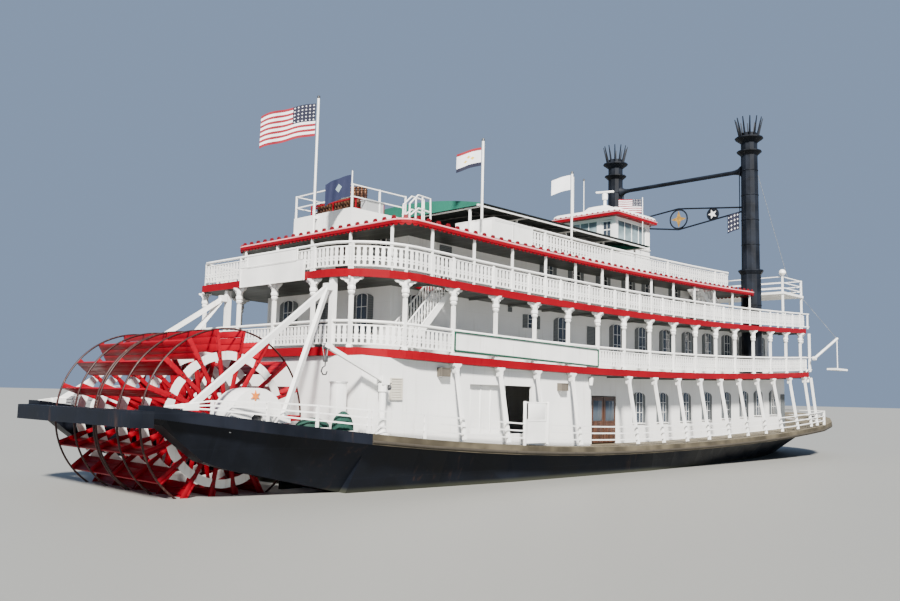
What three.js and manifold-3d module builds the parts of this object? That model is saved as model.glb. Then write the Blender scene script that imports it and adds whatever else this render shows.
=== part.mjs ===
// Stern-wheel paddle steamer, a 1:10 scale model in millimetres (1 m of the ship is 100 mm here).
// Origin on the flat bottom of the hull, on the centreline amidships. +X is the bow, +Y is port, +Z is up.
import * as THREE from 'three';
import { mergeVertices } from 'three/addons/utils/BufferGeometryUtils.js';
import Module from 'manifold-3d';

const wasm = await Module();
wasm.setup();

// Driving dimensions
const GAP = 0.4; // clearance between pieces that rest on each other
const STATION_STEP = 250; // the sheer of every deck is a polyline over stations this far apart
const DRAFT = 160;
const TRANSOM_X = -2000;
const BEAM_X = -2680; // fore face of the beam behind the paddle wheel
const DECK_STERN_X = -2000;
const BOILER_BOW_X = 1760;
const TEXAS_BOW_X = 1730;
const ROOF_STERN_X = -1830;
const ROOF_BOW_X = 960;
const HOUSE_SPLIT_X = -669; // where the main house narrows
const FOREDECK_X = 1300; // after end of the foredeck
const DECK_HALF = 550; // half breadth of the three upper decks
const GUARD_HALF = 605; // half breadth of the main deck with its guard
const GUARD_DEPTH = 35;
const WALL = 12;
const WHEEL_X = -2357;
const WHEEL_Z = 398;
const WHEEL_RADIUS = 291;
const SECTORS = 18;
const SHAFT_RADIUS = 20;
const CHIMNEY_X = 1030;
const CHIMNEY_Y = 472;

// Bottom height of each upper deck where its sheer is lowest, and the depth of its edge
const DECKS = {
  boiler: { bottom: 436 + DRAFT, depth: 30 },
  texas: { bottom: 711 + DRAFT, depth: 28 },
  roof: { bottom: 916 + DRAFT, depth: 18 },
};

// Colours of the materials
const PAINT = {
  white: [0xf2f2ee, 0.5, 0],
  red: [0xb01620, 0.5, 0],
  navy: [0x1b2130, 0.6, 0],
  black: [0x121212, 0.6, 0],
  timber: [0x8a8378, 0.8, 0],
  green: [0x1f5a45, 0.8, 0],
  brown: [0x4a2f22, 0.6, 0],
  steel: [0x6d7073, 0.4, 1],
  brass: [0xb08d3c, 0.35, 1],
  cloth: [0xe8e8ee, 0.9, 0],
};

// Sheer curves
function alongStations(curve) {
  return (x) => {
    const x0 = Math.floor(x / STATION_STEP) * STATION_STEP;
    const t = (x - x0) / STATION_STEP;
    return curve(x0) * (1 - t) + curve(x0 + STATION_STEP) * t;
  };
}

const deckSheer = alongStations((x) => 1.2e-5 * (x + 650) ** 2);
const guardTop = alongStations((x) => 124 + DRAFT + (x < -400 ? 3e-5 : 1.5e-5) * (x + 400) ** 2);
const deckBottom = (deck) => (x) => DECKS[deck].bottom + deckSheer(x);
const deckTop = (deck) => (x) => DECKS[deck].bottom + DECKS[deck].depth + deckSheer(x);

function stations(x0, x1, extra = []) {
  const list = [x0, x1, ...extra.filter((x) => x > x0 && x < x1)];
  for (let x = Math.ceil(x0 / STATION_STEP) * STATION_STEP; x < x1; x += STATION_STEP) list.push(x);
  return [...new Set(list)].sort((a, b) => a - b).filter((x, i, all) => i === 0 || x - all[i - 1] > 0.5);
}

// Value of column 1 onwards of a table of rows [x, ...values], linear between its rows
function rowAt(table, x) {
  const i = Math.max(1, table.findIndex((row, n) => n > 0 && row[0] >= x));
  const a = table[i - 1];
  const b = table[i];
  const t = Math.min(1, Math.max(0, (x - a[0]) / (b[0] - a[0])));
  return a.slice(1).map((value, n) => value * (1 - t) + b[n + 1] * t);
}

// Solids
function solidOf(geometry) {
  const bare = geometry.clone();
  bare.deleteAttribute('normal');
  bare.deleteAttribute('uv');
  const merged = mergeVertices(bare, 1e-4);
  return new wasm.Manifold(new wasm.Mesh({
    numProp: 3,
    vertProperties: new Float32Array(merged.attributes.position.array),
    triVerts: new Uint32Array(merged.index.array),
  }));
}

const join = (list) => list.map(asSolid).reduce((sum, solid) => sum.add(solid));
const cut = (from, ...tools) => tools.reduce((rest, tool) => rest.subtract(asSolid(tool)), asSolid(from));
const asSolid = (piece) => (piece.isBufferGeometry ? solidOf(piece) : piece);

function geometryOf(solid) {
  const mesh = solid.getMesh();
  const geometry = new THREE.BufferGeometry();
  geometry.setAttribute('position', new THREE.BufferAttribute(new Float32Array(mesh.vertProperties), 3));
  geometry.setIndex(new THREE.BufferAttribute(new Uint32Array(mesh.triVerts), 1));
  geometry.computeVertexNormals();
  return geometry;
}

function box(x0, x1, y0, y1, z0, z1) {
  const geometry = new THREE.BoxGeometry(x1 - x0, y1 - y0, z1 - z0);
  return geometry.translate((x0 + x1) / 2, (y0 + y1) / 2, (z0 + z1) / 2);
}

// A bar of width w and depth d between two points, its width lying across the vertical plane
function bar(from, to, w, d) {
  const a = new THREE.Vector3(...from);
  const b = new THREE.Vector3(...to);
  const along = b.clone().sub(a);
  const steep = Math.abs(along.z) > 0.95 * along.length();
  const up = steep ? new THREE.Vector3(1, 0, 0) : new THREE.Vector3(0, 0, 1);
  const z = along.clone().normalize();
  const x = new THREE.Vector3().crossVectors(up, z).normalize();
  const y = new THREE.Vector3().crossVectors(z, x);
  const geometry = new THREE.BoxGeometry(w, d, along.length());
  geometry.applyMatrix4(new THREE.Matrix4().makeBasis(x, y, z));
  return geometry.translate((a.x + b.x) / 2, (a.y + b.y) / 2, (a.z + b.z) / 2);
}

function rod(from, to, radius, sides = 8, endRadius = radius) {
  const a = new THREE.Vector3(...from);
  const b = new THREE.Vector3(...to);
  const along = b.clone().sub(a);
  const geometry = new THREE.CylinderGeometry(endRadius, radius, along.length(), sides);
  const upright = new THREE.Vector3(0, 1, 0);
  const turn = new THREE.Quaternion().setFromUnitVectors(upright, along.clone().normalize());
  geometry.applyQuaternion(turn);
  return geometry.translate((a.x + b.x) / 2, (a.y + b.y) / 2, (a.z + b.z) / 2);
}

// A closed loft through rings of [x, y, z] points that turn anticlockwise seen from the first ring's back
function loft(rings) {
  const n = rings[0].length;
  const positions = rings.flat(2);
  const index = [];
  for (let r = 0; r + 1 < rings.length; r += 1) {
    for (let i = 0; i < n; i += 1) {
      const j = (i + 1) % n;
      const [a, b, c, d] = [r * n + i, r * n + j, (r + 1) * n + j, (r + 1) * n + i];
      index.push(a, b, c, a, c, d);
    }
  }
  const last = (rings.length - 1) * n;
  for (let i = 1; i + 1 < n; i += 1) {
    index.push(0, i + 1, i);
    index.push(last, last + i, last + i + 1);
  }
  const geometry = new THREE.BufferGeometry();
  geometry.setAttribute('position', new THREE.Float32BufferAttribute(positions, 3));
  geometry.setIndex(index);
  return geometry;
}

// A loft along X: section(x) gives [y, z] points, anticlockwise seen from the bow
const loftAlong = (xs, section) => loft(xs.map((x) => section(x).map(([y, z]) => [x, y, z])));

// A slab between two height curves, y0(x) to y1(x) across
function slab(xs, y0, y1, low, high) {
  return loftAlong(xs, (x) => [[y0(x), low(x)], [y1(x), low(x)], [y1(x), high(x)], [y0(x), high(x)]]);
}

function extruded(points, depth, holes = []) {
  const shape = new THREE.Shape(points.map(([u, v]) => new THREE.Vector2(u, v)));
  for (const hole of holes) {
    shape.holes.push(new THREE.Path(hole.map(([u, v]) => new THREE.Vector2(u, v))));
  }
  return new THREE.ExtrudeGeometry(shape, { depth, bevelEnabled: false });
}

// An outline in X and Z given a thickness along Y, from y0 to y1
function plateXZ(points, y0, y1, holes = []) {
  const geometry = extruded(points, y1 - y0, holes);
  return geometry.rotateX(Math.PI / 2).translate(0, y1, 0);
}

const arcPoints = (cx, cy, r, from, to, n) => Array.from({ length: n + 1 }, (_, i) => {
  const a = THREE.MathUtils.degToRad(from + ((to - from) * i) / n);
  return [cx + r * Math.cos(a), cy + r * Math.sin(a)];
});

const model = new THREE.Group();

function addPart(name, paint, piece) {
  const [color, roughness, metalness] = PAINT[paint];
  const material = new THREE.MeshStandardMaterial({ color, roughness, metalness });
  const mesh = new THREE.Mesh(geometryOf(asSolid(piece)), material);
  mesh.name = name;
  model.add(mesh);
}

const SIDES = [['starboard', -1], ['port', 1]];

// Hull, from the transom to the stem
// columns: x, half breadths at the guard, at the waterline and at the bottom, bottom height
const HULL_ROWS = [
  [-2000, 575, 475, 420, 45],
  [-1600, 560, 505, 470, 5],
  [-1200, 552, 535, 500, 0],
  [-200, 552, 540, 505, 0],
  [400, 550, 495, 450, 0],
  [1000, 545, 425, 360, 0],
  [1500, 520, 325, 240, 12],
  [1900, 440, 200, 110, 55],
  [2200, 320, 75, 30, 125],
  [2420, 190, 12, 6, 240],
];

function hull() {
  const xs = stations(HULL_ROWS[0][0], HULL_ROWS.at(-1)[0], HULL_ROWS.map((row) => row[0]));
  return loftAlong(xs, (x) => {
    const [top, water, bottom, floor] = rowAt(HULL_ROWS, x);
    const knuckle = Math.max(DRAFT, floor + 20);
    const rim = guardTop(x) - GUARD_DEPTH - GAP;
    return [[-bottom, floor], [bottom, floor], [water, knuckle], [top, rim], [-top, rim], [-water, knuckle]];
  });
}

// Main deck with its guard, in three lengths; columns: x, half breadth
const GUARD_ROWS = [
  [-2680, 458], [-2470, 503], [-2330, 533], [-2100, 583], [-2000, 605], [1300, 605], [1800, 585],
  [2100, 520], [2350, 415], [2550, 265], [2650, 125], [2690, 20],
];
const guardHalf = (x) => rowAt(GUARD_ROWS, x)[0];
const guardXs = (x0, x1) => stations(x0, x1, GUARD_ROWS.map((row) => row[0]));

function mainDeck(x0, x1) {
  return slab(guardXs(x0, x1), (x) => -guardHalf(x), guardHalf, (x) => guardTop(x) - GUARD_DEPTH, guardTop);
}

// Stern arms that carry the wheel; columns: x, half breadth at the foot, bottom height
const ARM_ROWS = [
  [BEAM_X + GAP, 425, 390], [-2640, 428, 384], [-2585, 428, 339], [-2500, 426, 276], [-2410, 426, 249],
  [-2270, 428, 220], [-2070, 432, 176], [TRANSOM_X - GAP, 440, 160],
];
const ARM = { inner: 360, lip: 20 };
const BEARING = { half: 95, inner: 374, outer: 480, foot: 364, hole: SHAFT_RADIUS + 3 };

function sternArm(side) {
  const xs = guardXs(ARM_ROWS[0][0], ARM_ROWS.at(-1)[0]);
  const arm = loftAlong(stations(xs[0], xs.at(-1), [...xs, ...ARM_ROWS.map((row) => row[0])]), (x) => {
    const [foot, low] = rowAt(ARM_ROWS, x);
    const [half, top] = [guardHalf(x), guardTop(x)];
    const edge = Math.max(top - GUARD_DEPTH, low + 4);
    const points = [
      [ARM.inner, low], [foot, low], [half - ARM.lip, edge], [half, edge], [half, top], [ARM.inner, top],
    ];
    return side > 0 ? points : points.map(([y, z]) => [-y, z]).reverse();
  });
  const [y0, y1] = [ARM.inner - 5, BEARING.outer + 2];
  const half = BEARING.half + GAP;
  const seat = [BEARING.foot - GAP, BEARING.foot + 200];
  return cut(arm, box(WHEEL_X - half, WHEEL_X + half, side > 0 ? y0 : -y1, side > 0 ? y1 : -y0, ...seat));
}

// Outline of the beam behind the wheel, from its fore face aft; columns: distance aft, half breadth
const BEAM_ROWS = [[0, 458], [30, 448], [50, 415]];
const BEAM_HEIGHTS = [378, 426];

function fantailBeam() {
  const port = BEAM_ROWS.map(([back, half]) => [BEAM_X - back, half]);
  const starboard = port.map(([x, y]) => [x, -y]).reverse();
  const [low, high] = BEAM_HEIGHTS;
  return extruded([...port, ...starboard], high - low).translate(0, 0, low);
}

// Paddle wheel
// columns: place across, thickness; the two halves of the wheel meet in the thick middle frame
const WHEEL_FRAMES = [[-305, 8], [-155, 8], [0, 26], [155, 8], [305, 8]];
const WHEEL_HALF = 313;
const RIM_INNER = 277;
const BAND = { inner: 189, outer: 216 };
const HUB_RADIUS = 52;
const SPOKE_WIDTH = 14;
const BUCKET = { inner: 219, outer: 288, thick: 6 };

function wheelFrame([y, thick]) {
  const sector = 360 / SECTORS;
  const at = (r, degrees) => {
    const a = THREE.MathUtils.degToRad(degrees);
    return [r * Math.cos(a), r * Math.sin(a)];
  };
  const outline = Array.from({ length: SECTORS }, (_, k) => at(WHEEL_RADIUS, k * sector));
  const holes = [];
  for (const [inner, outer] of [[HUB_RADIUS + 6, BAND.inner], [BAND.outer, RIM_INNER]]) {
    for (let k = 0; k < SECTORS; k += 1) {
      const margin = (r) => THREE.MathUtils.radToDeg(Math.asin(SPOKE_WIDTH / 2 / r));
      holes.push([
        at(inner, k * sector + margin(inner)), at(inner, (k + 1) * sector - margin(inner)),
        at(outer, (k + 1) * sector - margin(outer)), at(outer, k * sector + margin(outer)),
      ].reverse());
    }
  }
  holes.push(arcPoints(0, 0, SHAFT_RADIUS + GAP, 0, 330, 11).reverse());
  return plateXZ(outline, y - thick / 2, y + thick / 2, holes);
}

function paddleWheel() {
  const half = WHEEL_HALF;
  const pieces = WHEEL_FRAMES.map(wheelFrame);
  for (let k = 0; k < SECTORS; k += 1) {
    const offset = SPOKE_WIDTH / 2 + BUCKET.thick / 2 - 1;
    const faces = [offset - BUCKET.thick / 2, offset + BUCKET.thick / 2];
    const plank = box(BUCKET.inner, BUCKET.outer, -half, half, ...faces);
    pieces.push(plank.rotateY(-THREE.MathUtils.degToRad((k * 360) / SECTORS)));
  }
  return join(pieces).translate([WHEEL_X, 0, WHEEL_Z]);
}

function bearingHousing(side) {
  const { half, foot, hole } = BEARING;
  const outline = [
    [WHEEL_X - half, foot], [WHEEL_X + half, foot], ...arcPoints(WHEEL_X, WHEEL_Z + 5, half, 0, 180, 12),
  ];
  const bore = arcPoints(WHEEL_X, WHEEL_Z, hole, 0, 330, 11).reverse();
  const [y0, y1] = [BEARING.inner, BEARING.outer];
  return plateXZ(outline, side > 0 ? y0 : -y1, side > 0 ? y1 : -y0, [bore]);
}

// Feet and head of the frame that holds each arm up, which meets a king post in the stern gallery
// feet and head: x, distance from the centreline
const KING_POST = { x: -1976, y: 340, width: 20 };
const BRACE = { feet: [[-2575, 462], [-2280, 498]], head: [-2000, KING_POST.y], drop: 36, leg: [13, 18] };

function wheelBrace(side) {
  const { feet, head: [headX, headY], drop, leg } = BRACE;
  const headZ = deckBottom('texas')(DECK_STERN_X) - drop;
  const end = KING_POST.x - KING_POST.width / 2 - GAP;
  const pieces = [box(headX - 12, end, side * headY - 12, side * headY + 12, headZ - 12, headZ + 12)];
  for (const [x, y] of feet) {
    const foot = [x, side * y, guardTop(x) + 12];
    pieces.push(bar(foot, [headX, side * headY, headZ], ...leg));
    pieces.push(box(x - 22, x + 22, side * y - 14, side * y + 14, guardTop(x - 22) + GAP, guardTop(x) + 22));
  }
  return join(pieces);
}

// Rudders hang under the raked stern, forward of the wheel
const RUDDER = { x: -2028, y: 250, fore: 18, aft: 76, low: 50, top: 190, head: 330, thick: 8, stock: 9 };

function rudder(side) {
  const { x, fore, aft, low, top, head, thick, stock } = RUDDER;
  const y = side * RUDDER.y;
  const blade = box(x - aft, x + fore, y - thick / 2, y + thick / 2, low, top);
  return join([blade, rod([x, y, low], [x, y, head], stock)]);
}

// Upper decks with rounded corners; the photograph shows the starboard quarter wide and the port one tight
const CORNER = { starboard: 260, port: 60 };
const ROOF_CORNER = 70;
const ARC_ANGLES = [0, 15, 30, 45, 60, 75, 90];

function deckXs({ stern, bow, starboard, port, fore }) {
  const round = (radius) => ARC_ANGLES.map((a) => radius * (1 - Math.cos(THREE.MathUtils.degToRad(a))));
  const aftXs = [...round(starboard), ...round(port)].map((distance) => stern + distance);
  return stations(stern, bow, [...aftXs, ...round(fore).map((distance) => bow - distance)]);
}

function deckHalf(stern, bow, sternCorner, foreCorner) {
  const round = (distance, radius) => (
    distance >= radius ? 0 : radius - Math.sqrt(radius ** 2 - (radius - distance) ** 2)
  );
  return (x) => DECK_HALF - Math.max(round(x - stern, sternCorner), round(bow - x, foreCorner));
}

// Ends of each deck, and the radii of its corners at the stern on both sides and at the bow
const DECK_PLANS = {
  boiler: { stern: DECK_STERN_X, bow: BOILER_BOW_X, ...CORNER, fore: 120 },
  texas: { stern: DECK_STERN_X, bow: TEXAS_BOW_X, ...CORNER, fore: 120 },
  roof: { stern: ROOF_STERN_X, bow: ROOF_BOW_X, starboard: ROOF_CORNER, port: ROOF_CORNER, fore: 80 },
};

function upperDeck(deck) {
  const plan = DECK_PLANS[deck];
  const { stern, bow, starboard, port, fore } = plan;
  const right = deckHalf(stern, bow, starboard, fore);
  const left = deckHalf(stern, bow, port, fore);
  return slab(deckXs(plan), (x) => -right(x), left, deckBottom(deck), deckTop(deck));
}

const CHIMNEY_HOLE = { radius: 64, low: 800, high: 1200 };

function chimneyHole(side) {
  const { radius, low, high } = CHIMNEY_HOLE;
  return rod([CHIMNEY_X, side * CHIMNEY_Y, low], [CHIMNEY_X, side * CHIMNEY_Y, high], radius, 12);
}

function texasDeck() {
  return cut(upperDeck('texas'), chimneyHole(-1), chimneyHole(1), stairwell(AFT_STAIR, 700, 1000));
}

// The roof with the row of posts that holds its stern edge up
const ROOF_POSTS = { x: ROOF_STERN_X + 10, ys: [-467, -235, 0, 235, 467], width: 8 };

function roofDeck() {
  const { x, ys, width } = ROOF_POSTS;
  const posts = ys.map((y) => post(x, y, deckTop('texas'), deckBottom('roof')(x) + 5, width));
  return join([cut(upperDeck('roof'), stairwell(FORE_STAIR, 1000, 1200)), ...posts]);
}

// Houses: hollow rings of wall that stand on one deck and reach up to the next
function house(x0, x1, half, low, high, tools = []) {
  const xs = stations(x0, x1, [x0 + WALL, x1 - WALL]);
  const inside = stations(x0 + WALL, x1 - WALL);
  const outer = slab(xs, () => -half, () => half, (x) => low(x) + GAP, (x) => high(x) - GAP);
  const inner = slab(inside, () => -half + WALL, () => half - WALL, (x) => low(x) - 30, (x) => high(x) + 30);
  return cut(outer, inner, ...tools);
}

const MAIN_HOUSE = { aft: -1985, step: HOUSE_SPLIT_X, fore: 1590, aftHalf: 520, foreHalf: 420 };
const CARGO = { aft: -1452, fore: -1081, door: -1225, sill: 346, top: 534, inset: 24 };
const UPPER_HOUSES = {
  boiler: { aft: -1750, fore: 1430, half: 390 },
  texas: { aft: -1650, fore: 700, half: 370 },
};
const PASSENGER = { aft: -518, middle: -417, fore: -316, top: 505, leaf: 8 };

function mainHouseAft() {
  const { aft, step, aftHalf } = MAIN_HOUSE;
  const opening = box(CARGO.aft, CARGO.fore, -aftHalf - 5, aftHalf + 5, CARGO.sill, CARGO.top);
  return house(aft, step, aftHalf, guardTop, deckBottom('boiler'), [opening]);
}

function mainHouseFore() {
  const { step, fore, foreHalf } = MAIN_HOUSE;
  const opening = box(PASSENGER.aft, PASSENGER.fore, -foreHalf - 5, foreHalf + 5, 200, PASSENGER.top);
  return house(step + 2, fore, foreHalf, guardTop, deckBottom('boiler'), [opening]);
}

function cargoDoor(side) {
  const y = side * (MAIN_HOUSE.aftHalf - CARGO.inset);
  return box(CARGO.aft - 8, CARGO.door, y - 5, y + 5, CARGO.sill - 4, CARGO.top + 6);
}

function passengerDoor(side, from, to) {
  const y = side * (MAIN_HOUSE.foreHalf - WALL / 2);
  const half = PASSENGER.leaf / 2;
  return box(from, to, y - half, y + half, guardTop(PASSENGER.aft) + 5, PASSENGER.top - 4);
}

// Galleries: posts, rails and panels joined in one frame along each deck edge
const RAIL = { low: 14, bar: 6, inset: 14 };
const RAIL_HEIGHT = { boiler: 92, texas: 96, roof: 90 };

// Rails along X as thin lofts, one for each height
function rails(xs, y, floor, heights, thick) {
  const [half, lift] = [thick / 2, thick / 2];
  return heights.map((height) => {
    const middle = (x) => floor(x) + height;
    return slab(xs, (x) => y(x) - half, (x) => y(x) + half, (x) => middle(x) - lift, (x) => middle(x) + lift);
  });
}

// Every other run is a little thinner, so that the tops of two runs that meet never nearly coincide
function railRun(points, floor, heights, thick) {
  const pieces = [];
  for (let i = 0; i + 1 < points.length; i += 1) {
    const [[xa, ya], [xb, yb]] = [points[i], points[i + 1]];
    const width = i % 2 === 0 ? thick - 0.8 : thick;
    for (const height of heights) {
      pieces.push(bar([xa, ya, floor(xa) + height], [xb, yb, floor(xb) + height], width, width));
    }
  }
  return pieces;
}

function post(x, y, low, high, width) {
  const half = width / 2;
  return box(x - half, x + half, y - half, y + half, Math.max(low(x - half), low(x + half)) + GAP, high);
}

const edgeY = DECK_HALF - RAIL.inset;
const sternEdgeX = DECK_STERN_X + RAIL.inset;

// Places of the columns, posts and slanted stanchions along each side, and of the posts across the stern
const BOILER_COLUMNS = [
  -1568, -1331, -1090, -861, -641, -430, -208, 16, 238, 459, 680, 908, 1134, 1353, 1569, 1712,
];
const TEXAS_POSTS = [
  -1686, -1461, -1236, -1021, -811, -607, -403, -190, 19, 233, 448, 658, 871, 1139, 1348, 1569, 1690,
];
const STANCHIONS = [
  -1553, -1307, -1076, -838, -399, -173, 49, 272, 493, 710, 937, 1153, 1383, 1607, 1710,
];
const STERN_POSTS_Y = [-240, 0, 240];
const POST_WIDTH = { boiler: 12, texas: 8 };
const ABOVE = { boiler: 'texas', texas: 'roof' };

// Posts reach the deck above, or only the rail where there is none
function postAt([x, y], deck) {
  const open = deck === 'texas' && (x < ROOF_STERN_X + 40 || x > ROOF_BOW_X - 10);
  const low = deckTop(deck);
  const width = POST_WIDTH[deck];
  const high = open ? low(x) + RAIL_HEIGHT[deck] : deckBottom(ABOVE[deck])(x - width / 2) - 1;
  return post(x, y, low, high, width);
}

// Name boards are left blank
const SIDE_BOARD = {
  inner: 538, outer: 546, aft: { x: -1572, low: 12, high: 90 }, fore: { x: -648, low: 2, high: 84 },
};

function sideBoard(side) {
  const { inner, outer, aft, fore } = SIDE_BOARD;
  const floor = deckTop('boiler');
  const [y0, y1] = side > 0 ? [inner, outer] : [-outer, -inner];
  const straight = (edge) => (x) => {
    const share = (x - aft.x) / (fore.x - aft.x);
    return (floor(aft.x) + aft[edge]) * (1 - share) + (floor(fore.x) + fore[edge]) * share;
  };
  return slab([aft.x, fore.x], () => y0, () => y1, straight('low'), straight('high'));
}

// Rails round each stern corner, and the angles of the posts on it
const CORNER_RAILS = {
  starboard: { from: 150, steps: 4, posts: [105, 150], columns: [] },
  port: { from: 165, steps: 3, posts: [135], columns: [-1790] },
};

function sideGallery(name, side, columns, deck, bow) {
  const y = side * edgeY;
  const floor = deckTop(deck);
  const radius = CORNER[name];
  const { from, steps, posts, columns: extra } = CORNER_RAILS[name];
  const bend = (a0, a1, n) => arcPoints(0, 0, radius - RAIL.inset, a0, a1, n).map(([dx, dy]) => [
    DECK_STERN_X + radius + dx, side * (DECK_HALF - radius + dy),
  ]);
  const corner = bend(90, from, steps);
  const turned = posts.map((angle) => bend(angle, angle, 1)[0]);
  const places = [...turned, ...[...extra, ...columns].map((x) => [x, y])];
  const heights = [RAIL.low, RAIL_HEIGHT[deck]];
  return join([
    ...railRun(corner, floor, heights, RAIL.bar),
    ...rails(stations(corner[0][0] - 2, bow - 20), () => y, floor, heights, RAIL.bar),
    ...places.map((place) => postAt(place, deck)),
    ...(deck === 'boiler' ? [sideBoard(side)] : []),
  ]);
}

// Stern board: its wide lower part hides the deck edge, its raised middle reaches up to the rail
const STERN_BOARD = {
  aft: -2009, fore: -2002, wide: [205, -2, 76], raised: [160, 70, 118], lugs: [-150, 150],
};

function sternBoard() {
  const { aft, fore, wide, raised, lugs } = STERN_BOARD;
  const edge = deckBottom('texas')(DECK_STERN_X);
  const panel = ([half, low, high]) => box(aft, fore, -half, half, edge + low, edge + high);
  const z = deckTop('texas')(DECK_STERN_X) + RAIL.low + 2;
  const lug = (y) => box(fore - 1, sternEdgeX, y - 5, y + 5, z - 5, z + 5);
  return [panel(wide), panel(raised), ...lugs.map(lug)];
}

function sternGallery(deck) {
  const reach = DECK_HALF - CORNER.starboard + 90;
  const portReach = DECK_HALF - CORNER.port - 30;
  const points = [[sternEdgeX + 18, -reach], [sternEdgeX, -220], [sternEdgeX, portReach]];
  return join([
    ...railRun(points, deckTop(deck), [RAIL.low, RAIL_HEIGHT[deck]], RAIL.bar),
    ...STERN_POSTS_Y.map((y) => postAt([sternEdgeX, y], deck)),
    ...(deck === 'texas' ? sternBoard() : kingPosts()),
  ]);
}

function kingPosts() {
  const { x, y, width } = KING_POST;
  const high = deckBottom('texas')(x) - 1;
  return [-y, y].map((place) => post(x, place, deckTop('boiler'), high, width));
}

// Guard rails of the main deck and of the stern arms
const GUARD_RAIL = { aft: -2520, fore: 1860, inset: 12, shares: [0.34, 0.67, 1], bar: 5, post: 8 };
const STERN_RAIL_POSTS = [-2514, -2346, -2186, -2010];
// Height of the top rail over the deck, which falls towards the stern; columns: x, height
const GUARD_RAIL_ROWS = [
  [-2654, 0], [-2514, 38], [-2346, 58], [-2186, 68], [-1754, 83], [1300, 88], [1900, 88],
];
const STANCHION = { width: 12, headInset: 8 };
const guardRailY = (side) => (x) => side * (guardHalf(x) - GUARD_RAIL.inset);

const guardRailHeight = (x) => rowAt(GUARD_RAIL_ROWS, x)[0];
const guardPost = (x, y) => post(x, y, guardTop, guardTop(x) + guardRailHeight(x) + 1, GUARD_RAIL.post);

function guardRails(side, x0, x1) {
  const xs = stations(x0, x1, [...GUARD_ROWS, ...GUARD_RAIL_ROWS].map((row) => row[0]));
  return GUARD_RAIL.shares.flatMap((share) => rails(
    xs, guardRailY(side), (x) => guardTop(x) + share * guardRailHeight(x), [0], GUARD_RAIL.bar,
  ));
}

function sternRail(side) {
  const posts = STERN_RAIL_POSTS.map((x) => guardPost(x, guardRailY(side)(x)));
  return join([...guardRails(side, GUARD_RAIL.aft, TRANSOM_X - 2), ...posts]);
}

function mainGallery(side) {
  const y = guardRailY(side);
  const [aft, fore] = [TRANSOM_X + 2, GUARD_RAIL.fore];
  const { width, headInset } = STANCHION;
  const pieces = guardRails(side, aft, fore);
  for (const x of [aft + 6, -1754, fore - 4]) pieces.push(guardPost(x, y(x)));
  for (const x of STANCHIONS) {
    const head = [x, side * (DECK_HALF - headInset), deckBottom('boiler')(x) - 7];
    pieces.push(bar([x, y(x), guardTop(x) + 8], head, width, width));
  }
  return join(pieces);
}

// Fence across the foredeck
const BOW_RAIL = { x: GUARD_RAIL.fore + 8, half: 560, posts: 5 };

function bowRail() {
  const { x, half, posts } = BOW_RAIL;
  const heights = GUARD_RAIL.shares.map((share) => share * guardRailHeight(x));
  const pieces = railRun([[x, -half], [x, half]], guardTop, heights, GUARD_RAIL.bar);
  for (let i = 0; i < posts; i += 1) pieces.push(guardPost(x, half * ((2 * i) / (posts - 1) - 1)));
  return join(pieces);
}

// Chimneys with their crowns of spikes
// columns: height of the low end, height of the high end, radius at the low end, radius at the high end
const CHIMNEY_ROWS = [
  [null, 1254, 57, 57], [1240, 1262, 57, 72], [1261, 1268, 72, 72], [1266, 2100, 52, 47],
  [1962, 1984, 48, 72], [1983, 1989, 72, 72], [2040, 2066, 48, 82], [2065, 2072, 82, 82],
];
const CROWN = { spikes: 12, foot: [50, 2068, 7], tip: [80, 2190, 3] };

function chimney(side) {
  const at = (z) => [CHIMNEY_X, side * CHIMNEY_Y, z];
  const deck = deckTop('boiler')(CHIMNEY_X + 60) + 1;
  const pieces = CHIMNEY_ROWS.map(([low, high, r0, r1]) => rod(at(low ?? deck), at(high), r0, 12, r1));
  const { spikes, foot, tip } = CROWN;
  for (let k = 0; k < spikes; k += 1) {
    const a = (k * 2 * Math.PI) / spikes;
    const place = ([r, z]) => [CHIMNEY_X + r * Math.cos(a), side * CHIMNEY_Y + r * Math.sin(a), z];
    pieces.push(rod(place(foot), place(tip), foot[2], 4, tip[2]));
  }
  return join(pieces);
}

// Strut between the chimneys, and under it a flat truss with a ring in its middle
const SPREADER = {
  reach: CHIMNEY_Y - 51, strut: [1875, 13], top: 1703, topEnd: 1656, low: 1569, lowEnd: 1630, rod: 5,
  ring: [1636, 60, 5],
};

function chimneySpreader() {
  const { reach, strut: [z, thick], top, topEnd, low, lowEnd, rod: thin, ring } = SPREADER;
  const x = CHIMNEY_X;
  const pieces = [rod([x, -reach, z], [x, reach, z], thick, 8)];
  for (const side of [-1, 1]) {
    pieces.push(rod([x, 0, top], [x, side * reach, topEnd], thin, 6));
    pieces.push(rod([x, 0, low], [x, side * reach, lowEnd], thin, 6));
    pieces.push(rod([x, side * reach * 0.97, lowEnd - 5], [x, side * reach * 0.97, z], 3, 6));
  }
  pieces.push(new THREE.TorusGeometry(ring[1], ring[2], 6, 20).rotateY(Math.PI / 2).translate(x, 0, ring[0]));
  return join(pieces);
}

// Pilothouse on its raised cabin; ranges along X, Y and Z
const PILOT = {
  x: [40, 385], half: 180, floor: 1262, eaves: 1470,
  windows: { x: [66, 345], z: [1335, 1455] },
  aftWindow: [-60, 110], aftDoor: [-158, -92], foreWindow: [-150, 150],
};

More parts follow.
